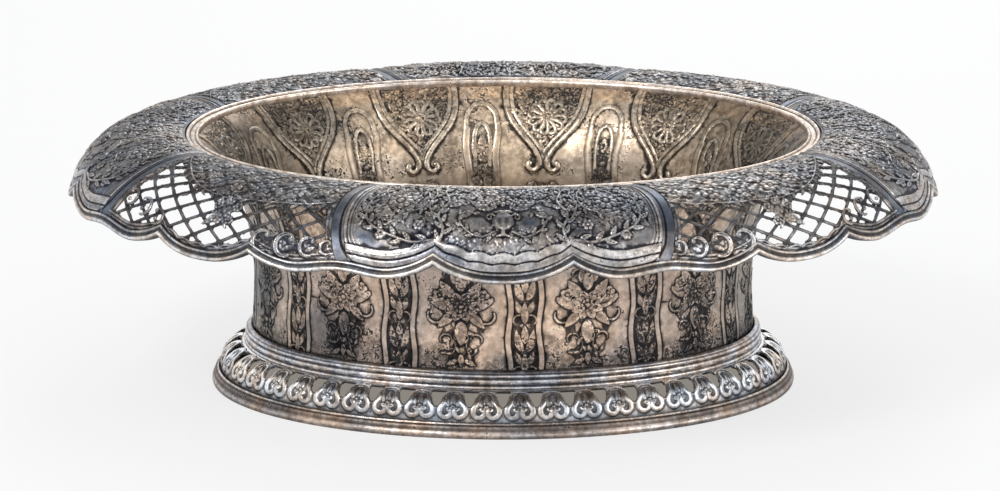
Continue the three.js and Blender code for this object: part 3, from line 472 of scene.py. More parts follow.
class Plate:
    """Flat sheet on the bench: x along the bowl, y up to the mouth, and the lift of its chased relief."""

    def __init__(self, x_span, y_span, pitch, stretch=lambda y: 1.0):
        self.pitch = pitch
        self.x = np.arange(x_span[0], x_span[1] + pitch, pitch)
        self.y = np.arange(y_span[0], y_span[1] + pitch, pitch)
        self.lift = np.zeros((len(self.y), len(self.x)))
        self.stretch = stretch
        self.soil = np.zeros_like(self.lift)  # more or less black tarnish than the relief alone gathers
        self.tone = np.zeros_like(self.lift)  # brighter or darker than the relief alone makes it: wear and tarnish, and in places painted light and shade
        self.tone_inside = np.zeros_like(self.lift)
        self.within = np.full_like(self.lift, FAR_OUTSIDE)  # how far inside the border of a drawn form
        blows = np.random.default_rng(len(self.x)).normal(0, 1, self.lift.shape)
        self.planished = 0.22 * blurred(blows, round(1.6 / pitch))

    def window(self, x, y, reach_x, reach_y):
        columns = slice(*np.searchsorted(self.x, (x - reach_x, x + reach_x)))
        rows = slice(*np.searchsorted(self.y, (y - reach_y, y + reach_y)))
        return (rows, columns), *np.meshgrid(self.x[columns], self.y[rows])

    def around(self, x, y, reach):
        """The part of the plate round a point, as distances from it measured on the finished bowl."""
        wide = self.stretch(y)
        part, at_x, at_y = self.window(x, y, reach / wide, reach)
        return part, (at_x - x) * wide, at_y - y

    def outline(self, part, inside):
        """Marks the border of a form laid over those drawn before it."""
        before = self.within[part]
        beside = np.where(before > 0, np.minimum(before, -inside), np.maximum(before, inside))
        self.within[part] = np.where(inside > 0, inside, beside)

    def raise_to(self, part, lift):
        self.lift[part] = np.maximum(self.lift[part], lift)

    def along(self, points, width):
        """1 along a drawn line, falling round to 0 at its sides, and how far inside its sides each place is."""
        points = np.asarray(points, float)
        halves = np.broadcast_to(width, len(points)) / 2
        mark = np.zeros_like(self.lift)
        inside = np.full_like(self.lift, FAR_OUTSIDE)
        for (px, py), (qx, qy), half in zip(points, points[1:], halves):
            wide = self.stretch((py + qy) / 2)
            centre = ((px + qx) / 2, (py + qy) / 2)
            reach = (abs(qx - px) / 2 + (half + 2) / wide, abs(qy - py) / 2 + half + 2)
            part, x, y = self.window(*centre, *reach)
            if not x.size:
                continue
            ax, ay, bx, by = (x - px) * wide, y - py, (qx - px) * wide, qy - py
            share = np.clip((ax * bx + ay * by) / max(bx * bx + by * by, 1e-9), 0, 1)
            away = np.hypot(ax - share * bx, ay - share * by)
            mark[part] = np.maximum(mark[part], np.sqrt(np.clip(1 - (away / half) ** 2, 0, 1)))
            inside[part] = np.maximum(inside[part], half - away)
        return mark, inside

    def stroke(self, points, width):
        return self.along(points, width)[0]

    def cord(self, points, width, lift):
        mark, inside = self.along(points, width)
        self.lift = np.maximum(self.lift, lift * mark)
        self.outline(slice(None), inside)

    def bead(self, x, y, radius, lift):
        part, dx, dy = self.around(x, y, radius)
        self.raise_to(part, lift * np.sqrt(np.clip(1 - (dx**2 + dy**2) / radius**2, 0, 1)))

    def leaf(self, x, y, angle, length, width, lift, lobes=0, bend=0.0, hollow=0.0):
        """A leaf from its root at x, y, with a sunk midrib and, where it has lobes, ribbed sides."""
        part, dx, dy = self.around(x, y, length * 1.15 + width + 1.5)
        c, s = math.cos(math.radians(angle)), math.sin(math.radians(angle))
        along = np.clip((dx * c + dy * s) / length, -0.01, 1.01)
        across = dy * c - dx * s - bend * length * along**2
        inside = np.clip(along, 0, 1)
        half = width / 2 * np.sin(math.pi * inside**0.75) ** 0.8
        if lobes:
            half = half * (0.7 + 0.3 * np.abs(np.cos(math.pi * lobes * inside)))
        past = (dx * c + dy * s) / length
        beyond = length * np.abs(past - np.clip(past, 0, 1))
        self.outline(part, np.where(beyond > 0, -np.hypot(across, beyond), half - np.abs(across)))
        side = np.abs(across) / np.maximum(half, 1e-3)
        body = np.sqrt(np.clip(1 - side**2, 0, 1)) * (dx * c + dy * s > 0)
        midrib = np.exp(-((across / (0.09 * width)) ** 2))
        ribs = 0.16 * np.cos(2 * math.pi * (lobes * inside - 0.5 * side)) if lobes else 0
        dish = hollow * np.sqrt(np.clip(1 - (side / 0.66) ** 2, 0, 1))
        self.raise_to(part, lift * body * (0.9 - 0.4 * midrib * (hollow == 0) + ribs - dish))

    def flower(self, x, y, radius, petals, lift, core=0.27):
        """An open flower: cupped petals round a seeded middle."""
        part, dx, dy = self.around(x, y, radius + 1.5)
        away = np.hypot(dx, dy)
        petal = np.abs(np.cos(petals / 2 * np.arctan2(dy, dx)))
        rim = radius * (0.68 + 0.32 * petal**0.5)
        self.outline(part, rim - away)
        share = np.clip(away / rim, 0, 1)
        body = np.sqrt(1 - share**4) * (0.45 + 0.55 * share) * (0.5 + 0.5 * petal**0.45)
        middle = np.sqrt(np.clip(1 - (away / (core * radius)) ** 2, 0, 1))
        gap = np.exp(-(((away / radius - core - 0.05) / 0.06) ** 2))
        self.raise_to(part, lift * np.maximum(body * (1 - 0.6 * gap), middle))

    def scroll(self, x, y, radius, start, turns, width, lift):
        """A spiral that curls in from its rim and ends in a bead."""
        t = np.linspace(0, 1, 26)
        angle = math.radians(start) + 2 * math.pi * turns * t
        reach = radius * (1 - 0.74 * t)
        line = np.column_stack([x + reach * np.cos(angle) / self.stretch(y), y + reach * np.sin(angle)])
        self.cord(line, width * (1 - 0.35 * t), lift)
        self.bead(*line[-1], width * 0.75, lift * 1.1)

    def crescent(self, x, y, radius, start, end, width, lift):
        """A C-scroll, thick in its middle with a dull furrow along it, and a knob curled in at its start."""
        angle = np.radians(np.linspace(start, end, 22))
        swell = 0.4 + 0.6 * np.sin(np.linspace(0.1, 0.95, 22) * math.pi)
        line = np.column_stack([x + radius * np.cos(angle) / self.stretch(y), y + radius * np.sin(angle)])
        self.cord(line, width * swell, lift)
        furrow = self.stroke(line[3:], 0.4 * width * swell[3:])
        self.lift -= 0.3 * lift * furrow
        self.tone -= 0.2 * furrow
        knob = line[0] * 0.8 + 0.2 * np.array([x, y])
        self.bead(*knob, 0.62 * width, 1.15 * lift)

    def vine(self, points, width, lift, leaf, gap, spread=48, lobes=3, first=1):
        """A stem with leaves on alternate sides, which get smaller towards its end."""
        line = flowing(points)
        self.cord(line, np.linspace(width, 0.6 * width, len(line)), lift)
        _, length = curve_table(line)
        for k, at in enumerate(np.arange(gap * 0.6, length[-1], gap)):
            x, y, step_x, step_y = along_line(line, length, at, 0.5)
            angle = math.degrees(math.atan2(step_y, step_x))
            side = first if k % 2 == 0 else -first
            size = leaf * (1 - 0.35 * at / length[-1])
            self.leaf(x, y, angle + side * spread, size, size * 0.5, lift * 1.05, lobes, -side * 0.25)

    def thicket(self, x_span, y_span, count, size, lift, seed, floor=0.55):
        """Small leaves, berries and blossoms thrown together, as a chaser fills the ground between motifs."""
        chance = np.random.default_rng(seed)
        outlines = self.within.copy()
        for _ in range(count):
            x, y = chance.uniform(*x_span), chance.uniform(*y_span)
            length, angle, kind = size * chance.uniform(0.7, 1.35), chance.uniform(0, 360), chance.uniform()
            rise = lift * chance.uniform(0.6, 1.1)
            if self.value(self.lift, np.array([x]), np.array([y]))[0] > floor * lift:
                continue
            if kind < 0.62:
                self.leaf(x, y, angle, length, length * 0.5, rise, 2, chance.uniform(-0.3, 0.3))
            elif kind < 0.86:
                self.bead(x, y, length * 0.24, rise)
            else:
                self.flower(x, y, length * 0.5, 5, rise)
        self.within = outlines

    def value(self, layer, x, y):
        """A layer's value between its cells."""
        u = np.clip((x - self.x[0]) / self.pitch, 0, len(self.x) - 1.001)
        v = np.clip((y - self.y[0]) / self.pitch, 0, len(self.y) - 1.001)
        i, j = u.astype(int), v.astype(int)
        u, v = u - i, v - j
        low = layer[j, i] * (1 - u) + layer[j, i + 1] * u
        high = layer[j + 1, i] * (1 - u) + layer[j + 1, i + 1] * u
        return low * (1 - v) + high * v

    def shades(self):
        """How each point stands to the sheet round it, outside and inside, and how much relief is near it."""
        near, wide = (blurred(self.lift, max(1, round(reach / self.pitch))) for reach in (0.5, 1.3))
        stands = 0.8 * (self.lift - near) + 0.55 * (self.lift - wide)
        outside = np.clip(0.5 + stands + self.tone, 0, 1)
        inside = np.clip(0.5 - stands + self.tone_inside, 0, 1)
        slope = np.hypot(*np.gradient(self.lift, self.pitch))
        busy = blurred(np.minimum(slope, 1.5), round(1.5 / self.pitch)) / 0.45
        return outside, inside, np.clip(busy + self.soil, 0, 1)

    def halves(self, x, up=float):
        return Half(self, x, -1, up), Half(self, x, 1, up)


class Half:
    """One side of a line up a plate. Places are given by their distance from the line, and angles from up."""

    def __init__(self, plate, x, side, up):
        self.plate, self.x, self.side, self.up = plate, x, side, up

    def point(self, out, height):
        return self.x + self.side * out, self.up(height)

    def line(self, points):
        return flowing([self.point(*point) for point in points])

    def bead(self, out, height, radius, lift):
        self.plate.bead(*self.point(out, height), radius, lift)

    def leaf(self, out, height, angle, length, width, lift, lobes=0, bend=0.0, hollow=0.0):
        turned = 90 - self.side * angle
        self.plate.leaf(*self.point(out, height), turned, length, width, lift, lobes, self.side * bend, hollow)

    def flower(self, out, height, *shape):
        self.plate.flower(*self.point(out, height), *shape)

    def crescent(self, out, height, radius, start, end, width, lift):
        start, end = 90 - self.side * start, 90 - self.side * end
        self.plate.crescent(*self.point(out, height), radius, start, end, width, lift)

    def vine(self, points, *shape):
        self.plate.vine([self.point(*point) for point in points], *shape)


def apply_modifier(piece, kind, **settings):
    modifier = piece.modifiers.new(kind, kind)
    for name, value in settings.items():
        setattr(modifier, name, value)
    bpy.ops.object.modifier_apply(modifier=modifier.name)


def flat_sheet(plate, x, y, faces_kept, solid=None):
    """The chased plate as a mesh on the grid of x and y, sawn out where solid is below 0 and then thinned."""
    bpy.ops.object.select_all(action="DESELECT")
    rows, columns = x.shape
    bpy.ops.mesh.primitive_grid_add(x_subdivisions=columns - 1, y_subdivisions=rows - 1, size=1)
    sheet = bpy.context.object
    x, y = x.ravel().copy(), y.ravel().copy()
    if solid is not None:
        depth = plate.value(solid, x, y)
        slope_y, slope_x = np.gradient(solid, plate.pitch)
        gx, gy = plate.value(slope_x, x, y), plate.value(slope_y, x, y)
        steep = np.maximum(np.hypot(gx, gy), 1e-6)
        near = np.abs(depth) / steep < 0.62 * plate.pitch
        x[near] -= (depth * gx / steep**2)[near]
        y[near] -= (depth * gy / steep**2)[near]
        void = (depth < 0) & ~near
    points = np.column_stack([x, y, plate.value(plate.lift + plate.planished, x, y)])
    sheet.data.vertices.foreach_set("co", points.ravel())
    if solid is not None:
        corners = np.empty(len(sheet.data.loops), np.int32)
        sheet.data.loops.foreach_get("vertex_index", corners)
        corners = corners.reshape(-1, 4)
        middle = plate.value(solid, x[corners].mean(1), y[corners].mean(1))
        select_faces(sheet, void[corners].any(1) | (near[corners].all(1) & (middle < 0)))
        bpy.ops.object.mode_set(mode="EDIT")
        bpy.ops.mesh.delete(type="FACE")
        bpy.ops.object.mode_set(mode="OBJECT")
    apply_modifier(sheet, "DECIMATE", ratio=min(1, faces_kept / (2 * len(sheet.data.polygons))))
    sheet["sawn_out"] = solid is not None
    return sheet


def select_faces(piece, chosen):
    scene.tool_settings.mesh_select_mode = (False, False, True)
    bpy.ops.object.mode_set(mode="EDIT")
    bpy.ops.mesh.select_all(action="DESELECT")
    bpy.ops.object.mode_set(mode="OBJECT")
    piece.data.polygons.foreach_set("select", np.asarray(chosen, bool))


def bent_copy(sheet, name, plate, place, mirrored=False):
    """A copy of a flat sheet bent into its place on the bowl and given its thickness inward."""
    bpy.ops.object.select_all(action="DESELECT")
    piece = sheet.copy()
    piece.data = sheet.data.copy()
    piece.name = piece.data.name = name
    scene.collection.objects.link(piece)
    bpy.context.view_layer.objects.active = piece
    piece.select_set(True)
    flat = np.empty(3 * len(piece.data.vertices), np.float32)
    piece.data.vertices.foreach_get("co", flat)
    x, y, lift = flat.reshape(-1, 3).T.astype(float)
    outside, inside, busy = (plate.value(layer, x, y) for layer in plate.shades())
    piece.data.vertices.foreach_set("co", place(x, y, lift).ravel())
    if mirrored:
        piece.data.flip_normals()
    piece.data.update()
    faces = len(piece.data.polygons)
    apply_modifier(piece, "SOLIDIFY", thickness=SHEET * MM, offset=-1)
    if sheet["sawn_out"]:
        # marks the sawn faces, which the material gives a painted highlight
        sawn = piece.data.attributes.new("sawn", "FLOAT", "FACE")
        sawn.data.foreach_set("value", (np.arange(len(piece.data.polygons)) >= 2 * faces).astype(np.float32))
    bpy.ops.object.shade_smooth_by_angle(angle=math.radians(60))
    apply_modifier(piece, "WEIGHTED_NORMAL", keep_sharp=True)
    set_shades(
        piece, relief=np.concatenate([outside, inside]), busy=np.tile(busy, 2),
        outline=np.tile(10 + plate.value(plate.within, x, y), 2), inside=np.repeat([0, 1], len(x)))
    return piece


def curve_table(points):
    """Lengths along a line of (outward, height) points."""
    points = np.asarray(points, float)
    return points, np.concatenate([[0], np.cumsum(np.hypot(*np.diff(points, axis=0).T))])


def on_profile(points, length, at, lift):
    """Outward and height at a length along the profile, lifted square to it."""
    outward, height, along_x, along_y = along_line(points, length, at, 0.8)
    size = np.maximum(np.hypot(along_x, along_y), 1e-9)
    return outward + along_y / size * lift, height - along_x / size * lift


def bezier(points, count=40):
    """A Bezier curve of any degree."""
    t = np.linspace(0, 1, count)[:, None]
    degree = len(points) - 1
    return sum(
        math.comb(degree, k) * t**k * (1 - t) ** (degree - k) * np.array(p, float)
        for k, p in enumerate(points)
    )


skirt_curve = bezier([(SKIRT_OUTWARD, 6.5), (-17.9, SKIRT_TOP), (-32.5, SKIRT_TOP)])
skirt_line, skirt_length = curve_table(np.vstack([skirt_curve, (-41.5, SKIRT_TOP)]))
LAPPET_PITCH = (OVAL + 2 * math.pi * SKIRT_OUTWARD) / LAPPETS
SKIRT_RUN = LAPPETS // 4


def chase_lappet(plate, x):
    """One lappet with its middle at x."""
    for half in plate.halves(x):
        band = half.line(LAPPET_ARCH)
        plate.cord(band, 3.0, 0.6)
        plate.tone += 0.14 * plate.stroke(band, 2.6)
        half.leaf(2.2, 8.8, 14, 5.2, 2.0, 0.5, 0, 0.15, 0.4)
        half.bead(LAPPET_PITCH / 2, 8.4, 0.8, 0.5)
        half.bead(2.1, 7.2, 1.0, 1.0)
    plate.leaf(x, 9.6, 90, 6.4, 3.2, 0.7, 0, 0, 0.5)
    plate.bead(x, 9.4, 1.2, 0.9)


def chase_skirt():
    """A quarter of the skirt, flat: its lappets, and the openings between them."""
    span = SKIRT_RUN * LAPPET_PITCH
    plate = Plate((-1, span + 1), (-0.5, skirt_length[-1] + 0.5), 0.22)
    for k in range(SKIRT_RUN):
        chase_lappet(plate, (k + 0.5) * LAPPET_PITCH)
    x, y = np.meshgrid(plate.x, plate.y)
    plate.lift = np.maximum(plate.lift, 0.5 * line_at(y, 21.4, 1.6))
    # painted shadow: a dark strip along the foot of the skirt under the lappets; painted light: the lappets
    # brighter towards their tops, where they bend level under the body
    plate.tone -= 0.22 * (y < 2.0)
    plate.tone += 0.12 * np.clip((y - 10) / 4, 0, 1)
    off = np.abs(np.mod(x + LAPPET_PITCH / 2, LAPPET_PITCH) - LAPPET_PITCH / 2)
    ups, halves = zip(*LAPPET_GAP)
    half = np.interp(y, ups, halves, left=-1, right=-1)
    solid = blurred((off > half).astype(float), 1) - 0.5
    grid = np.meshgrid(np.linspace(0, span, 620), np.linspace(0, skirt_length[-1], 100))
    return plate, flat_sheet(plate, *grid, 38000, solid)


def line_at(distance, at, width):
    """1 along the line where a distance has a value, falling round to 0 at its sides."""
    return np.sqrt(np.clip(1 - ((distance - at) / (width / 2)) ** 2, 0, 1))


def skirt_place(first):
    def place(x, y, lift):
        turn = parallel_turn(SKIRT_OUTWARD, (x / LAPPET_PITCH + first) / LAPPETS)
        return oval_place(turn, *on_profile(skirt_line, skirt_length, y, lift))
    return place


skirt_plate, skirt_sheet = chase_skirt()
# painted light: the skirt's colour is brightened from its foot to twice over at its top
skirt_silver = silver(
    "skirt_silver", bright=(0.6, 0.565, 0.535), film=(0.3, 0.31, 0.33), dark=(0.055, 0.06, 0.07), film_amount=0.9,
    specks=0.6, contrast=0.7, rubbing_and_highlight=0.5, tints=0.6, lines=0.6, painted_shading=(12.5, 19.5, 1.0, 2.0))
for k, name in enumerate(QUARTERS):
    piece = bent_copy(skirt_sheet, "foot_skirt_" + name, skirt_plate, skirt_place(k * SKIRT_RUN))
    fit(piece, "foot_skirt", skirt_silver)
bpy.data.objects.remove(skirt_sheet)

# Body: one sheet raised into a waisted oval that opens like a trumpet. Twelve bays of flat chasing go round
# it: a bouquet on the outside, a shield with a flower under the mouth inside, and a pilaster between bays.
BAYS = 12
BAY_WIDTH = OVAL / BAYS
BAY_START = 0.17 / BAYS  # turn of the pilaster nearest to the middle of the front
SHIELD = [  # half of its border, from the collar down to its curled end: out, height
    (24, 131), (24.2, 126), (23, 119.5), (19.5, 113.5), (13.5, 107.5), (8, 102.5), (4.2, 98), (2.6, 94.2),
    (3.4, 91), (6.6, 89.4), (9.6, 91), (9, 93.4),
]
PETAL = ((2.4, 0), (4.2, 1.2), (7.2, 2.0), (9.4, 1.5), (10.2, 0), (9.4, -1.5), (7.2, -2.0), (4.2, -1.2), (2.4, 0))
PILASTER_TOP = 112
FLOOR_HEIGHT, FLOOR_OUTWARD, FLOOR_SIDES = 21.7, -38.5, 320
body_line, body_length = curve_table(np.vstack([
    (FLOOR_OUTWARD, FLOOR_HEIGHT), (-37, FLOOR_HEIGHT), (-36, 21.9), (-34.9, 22.6), (-34.2, 23.7), (-34, 24.7),
    bezier([(-34, 24.7), (-35.2, 42), (-35.8, 56)], 12)[1:],
    bezier([(-35.8, 56), (-35.8, 96.3), (-22, 121), (-5.8, 130.7)], 60)[1:],
]))
BODY_LENGTH = body_length[-1]


def body_up(height):
    """The length along the body's profile at a height."""
    return np.interp(height, body_line[5:, 1], body_length[5:])


def body_stretch(y):
    """How much longer a step round the body is than at the mouth, on average."""
    return 1 + 0.0067 * float(np.interp(y, body_length, body_line[:, 0]))


def chase_bouquet(plate, x):
    """A large flower with leaves round it, two side scrolls and a hanging spray."""
    up = body_up
    for half in plate.halves(x, up):
        half.crescent(15.6, 59, 4.0, 60, 250, 1.5, 0.6)
        half.leaf(4.5, 64, 84, 12.5, 6.2, 0.75, 0, 0.16, 0.45)
        half.leaf(3.6, 68, 44, 12.0, 5.8, 0.75, 0, 0.16, 0.45)
        half.leaf(4, 60, 122, 11, 5.2, 0.65, 0, -0.2, 0.45)
        half.flower(13.2, 70, 3.6, 5, 0.7)
        half.leaf(14, 65, 60, 6, 3.6, 0.55, 0, 0.2, 0.45)
        half.leaf(2.4, 76, 24, 8, 4.2, 0.6, 0, 0.15, 0.45)
        half.crescent(6.6, 81, 2.8, -100, 110, 1.2, 0.55)
        half.vine([(1.6, 52), (4.4, 48), (3.4, 42.5), (6.4, 38.5), (10.4, 40.5)], 1.0, 0.5, 5.0, 4.0)
        half.crescent(9.4, 46.5, 2.8, -90, 130, 1.1, 0.5)
        half.leaf(2.6, 36, 132, 6.4, 3.4, 0.5, 2, 0.2)
    for angle in np.arange(22.5, 360, 45):
        out, rise = 2.8 * math.cos(math.radians(angle)), 2.8 * math.sin(math.radians(angle))
        plate.leaf(x + out / plate.stretch(up(64)), up(64) + rise, angle, 5.6, 5.0, 0.95, 0, 0, 0.55)
    plate.flower(x, up(64), 3.6, 8, 1.05, 0.4)
    plate.leaf(x, up(56), -90, 13, 6.4, 0.75, 0, 0, 0.5)
    plate.bead(x, up(41), 1.5, 0.7)
    plate.leaf(x, up(39), -90, 7, 3.6, 0.6, 2)
    plate.leaf(x, up(72), 90, 12, 5.6, 0.65, 0, 0, 0.5)
    across, high = np.meshgrid((plate.x - x) * 0.77, plate.y)
    halo = np.clip((1.1 - np.hypot(across / 16, (high - up(60)) / 25)) / 0.4, 0, 1)
    plate.soil += 0.3 * halo
    plate.tone -= 0.08 * halo * blurred((plate.lift > 0.15).astype(float), 4)


def chase_shield(plate, x):
    """The raised shield under the mouth with its flower, worked from the outside so that it stands out inside."""
    up = body_up
    for half in plate.halves(x, up):
        edge, inner = half.line(SHIELD), half.line([(max(a - 3.0, 0), b + 1.6) for a, b in SHIELD[:8]])
        for line, width, lift in ((edge, 1.9, 0.8), (inner, 1.1, 0.6)):
            plate.cord(line, width, lift)
            plate.tone_inside += 0.24 * plate.stroke(line, width)
        plate.tone_inside -= 0.3 * plate.stroke(half.line([(a + 1.7, b - 1) for a, b in SHIELD[:9]]), 1.2)
        for angle, length in ((76, 16), (48, 15), (108, 15), (136, 12)):
            half.leaf(6, 116, angle, length, 5.2, 0.55, 4, 0.14, 0.5)
        half.leaf(3, 122, 30, 9, 4.4, 0.55, 3, 0.2, 0.5)
    plate.leaf(x, up(108), -90, 11, 5.2, 0.6, 3, 0, 0.5)
    centre_x, centre_y = x - 1.5, up(117)
    wide = plate.stretch(centre_y)
    for k in range(12):
        c, s = math.cos(2 * math.pi * (k + 0.3) / 12), math.sin(2 * math.pi * (k + 0.3) / 12)
        petal = flowing([(centre_x + (a * c - b * s) / wide, centre_y + a * s + b * c) for a, b in PETAL], 4)
        plate.cord(petal, 0.9, 0.7)
        plate.tone_inside += 0.3 * plate.stroke(petal, 1.0)
    plate.flower(centre_x, centre_y, 3.0, 9, 0.9, 0.55)
    field_x, field_z = zip(*SHIELD[::-1][4:])
    across, high = np.meshgrid(plate.x - x, plate.y)
    half_width = np.interp(high, [up(h) for h in field_z], field_x)
    field = (np.abs(across) < half_width - 2.5) & (high > up(96))
    plate.soil += 0.34 * blurred(field.astype(float), 2)
    plate.tone_inside -= 0.1 * blurred(field.astype(float), 2)
    bare = plate.lift.copy()
    plate.thicket((x - 22, x + 22), (up(97), up(130)), 150, 4.4, 0.38, 4, 0.35)
    plate.lift = np.where(field, plate.lift, bare)


def chase_pilaster(plate, x):
    """A strip between two wavy bands, with a chain of leaves, that ends in a small arch at the top."""
    up, top = body_up, PILASTER_TOP
    for half in plate.halves(x, up):
        wave = [half.point(9.4 + 1.0 * math.sin(h * 0.19 + half.side), h) for h in np.arange(24, top, 3.0)]
        band = flowing(wave, 3)
        plate.cord(band, 3.0, 0.3)
        plate.soil -= 0.9 * plate.stroke(band, 3.6)
        plate.tone += 0.05 * plate.stroke(band, 3.0)
        for off in (-1.9, 1.9):
            line = flowing([(a + off, b) for a, b in wave], 3)
            plate.lift -= 0.25 * plate.stroke(line, 0.8)
            plate.tone -= 0.22 * plate.stroke(line, 0.7)
        arch = half.line([(9.8, top - 1), (8.7, 118), (4.5, 122), (0, 123)])
        plate.cord(arch, 2.0, 0.4)
        inner = half.line([(4.6, 92), (5, 106), (3, 112), (0, 114)])
        plate.cord(inner, 1.3, 0.4)
        for line in (arch, inner):
            plate.tone_inside += 0.12 * plate.stroke(line, 1.4)
    for k, h in enumerate(np.arange(27, 108, 13.5)):
        odd = k % 2
        for half in plate.halves(x, up):
            if odd:
                half.leaf(1.2, h, 30, 12, 4.2, 0.5, 0, 0.26, 0.45)
            else:
                half.crescent(3.6, h + 3, 2.7, -70, 170, 1.2, 0.45)
                half.leaf(1.6, h + 6.5, 34, 7.5, 3.4, 0.45, 0, 0.2, 0.4)
        plate.leaf(x, up(h + 1 + 3 * odd), 90, 12.5 - 2 * odd, 3.8, 0.55, 0, 0, 0.4)
        plate.bead(x, up(h), 1.4, 0.6)
    across, high = np.meshgrid(np.abs(plate.x - x), plate.y)
    strip = blurred(((across < 7.4) & (high < up(108))).astype(float), 2)
    plate.soil += 0.4 * strip
    plate.tone -= 0.03 * strip


def chase_body():
    """A quarter of the wall, flat. Its upper part is worked from the other side, so its forms sink outside."""
    span = OVAL / 4
    plate = Plate((-1, span + 1), (0, BODY_LENGTH + 0.5), 0.3, body_stretch)
    for k in range(3):
        chase_bouquet(plate, (k + 0.5) * BAY_WIDTH)
    plate.within[plate.y > body_up(84)] = FAR_OUTSIDE
    for k in range(4):
        chase_pilaster(plate, k * BAY_WIDTH)
    outward = plate.lift
    plate.lift = np.zeros_like(outward)
    for k in range(3):
        chase_shield(plate, (k + 0.5) * BAY_WIDTH)
    x, y = plate.x, plate.y[:, None]
    high = np.clip((y - body_up(86)) / 4, 0, 1)
    plate.lift = outward * (1 - 2 * high) - plate.lift
    wave = 5 * np.sin(x * 0.11) + 4 * np.sin(x * 0.047 + 2)
    low = np.clip((body_up(47) + wave - y) / 8, 0, 1)
    drift = 0.5 + 0.5 * np.sin(x * 0.19 + 1) * np.sin(y * 0.13 + x * 0.05)
    plate.soil += 0.85 * low
    plate.soil += 0.85 * high * drift
    plate.tone -= 0.05 * low
    grid = np.meshgrid(np.linspace(0, span, 560), np.linspace(0, BODY_LENGTH, 330))
    return plate, flat_sheet(plate, *grid, 66000)


def body_place(first):
    def place(x, y, lift):
        return oval_place(BAY_START + first + x / OVAL, *on_profile(body_line, body_length, y, lift))
    return place


SMOKY_PLACES = [  # a point of the wall, and how far the smoke reaches round it: millimetres
    ((-90, -70, 36), 27), ((-122, -20, 60), 30), ((60, 92, 50), 30), ((-40, 96, 30), 24), ((2, -96, 24), 19),
    ((44, -90, 24), 17), ((96, -64, 22), 15),
]


def wall_colour(tree, colour):
    """Smoky places and a smoky foot outside, a greyer inside, and painted shade on both, darker towards the ends.
    """
    inside, place = shade(tree, "inside"), own_place(tree)
    ragged = worked(tree, "ShaderNodeTexNoise", {"Vector": place, "Scale": 60, "Detail": 4}, 1)
    ragged = vector(tree, "SCALE", vector(tree, "SUBTRACT", ragged, (0.5, 0.5, 0.5)), 0.03)
    stirred = vector(tree, "ADD", place, ragged)
    smoke = worked(tree, "ShaderNodeSeparateXYZ", {0: stirred}, "Z").smooth(43 * MM, 34 * MM, 0.0, 0.6)
    for centre, reach in SMOKY_PLACES:
        away = vector(tree, "DISTANCE", stirred, tuple(MM * part for part in centre), "Value")
        smoke = smoke.at_least(away.smooth(reach * MM, 0.6 * reach * MM))
    smoked = mix_colour(tree, 1.0, colour, (0.36, 0.42, 0.5, 1), "MULTIPLY")
    colour = mix_colour(tree, smoke * (1.0 - inside) * 0.85, colour, smoked)
    x, _, z = (Value(tree, part) for part in add_node(tree, "ShaderNodeSeparateXYZ", {0: place}).outputs)
    warm = mix_colour(tree, inside, WHITE, (0.68, 0.7, 0.66, 1))
    warm = mix_colour(tree, inside * z.smooth(125.5 * MM, 127.5 * MM), warm, (0.8, 0.76, 0.66, 1))
    colour = mix_colour(tree, 1.0, colour, warm, "MULTIPLY")
    # painted shade: the wall is darkened and cooled towards both ends, outside and more strongly inside
    off_middle = abs(x)
    ends = {2: off_middle.smooth(90 * MM, 128 * MM), 3: off_middle.smooth(60 * MM, 120 * MM)}
    end = worked(tree, "ShaderNodeMix", {0: inside, **ends})
    end_shade_colour = mix_colour(tree, inside, (0.72, 0.79, 0.82, 1), (0.43, 0.44, 0.45, 1))
    return vector(tree, "MULTIPLY", colour, mix_colour(tree, end, WHITE, end_shade_colour))


body_plate, body_sheet = chase_body()
body_silver = silver(
    "body_silver", bright=(0.76, 0.57, 0.435), film=(0.38, 0.325, 0.3), dark=(0.022, 0.022, 0.025), film_amount=0.6,
    specks=1.1, rubbing_and_highlight=0.45, tints=0.12, lines=0.85, recolour=wall_colour)
for k, name in enumerate(QUARTERS):
    piece = bent_copy(body_sheet, "body_wall_" + name, body_plate, body_place(k / 4))
    fit(piece, "bowl_body", body_silver)
bpy.data.objects.remove(body_sheet)


def lay_floor():
    """The level floor of the body, an oval plate with a turned line round it."""
    bpy.ops.object.select_all(action="DESELECT")
    bpy.ops.mesh.primitive_circle_add(vertices=FLOOR_SIDES, radius=1, fill_type="NGON")
    plate = bpy.context.object
    plate.name = "body_floor"
    edge = oval_place((np.arange(FLOOR_SIDES) + 0.5) / FLOOR_SIDES, FLOOR_OUTWARD, FLOOR_HEIGHT + SHEET)
    plate.data.vertices.foreach_set("co", edge.astype(np.float32).ravel())
    plate.data.update()
    bpy.ops.object.mode_set(mode="EDIT")
    bpy.ops.mesh.select_all(action="SELECT")
    bpy.ops.mesh.inset(thickness=0.012)
    for sink in (-0.0004, 0.0004):
        bpy.ops.mesh.inset(thickness=0.0008, depth=sink)
    bpy.ops.object.mode_set(mode="OBJECT")
    face_outward(plate, 40)
    apply_modifier(plate, "SOLIDIFY", thickness=SHEET * MM, offset=-1)
    bpy.ops.object.shade_smooth_by_angle(angle=math.radians(40))
    set_shades(plate, relief=0.5, busy=0.35, inside=1.0)
    return plate


fit(lay_floor(), "bowl_body", body_silver)
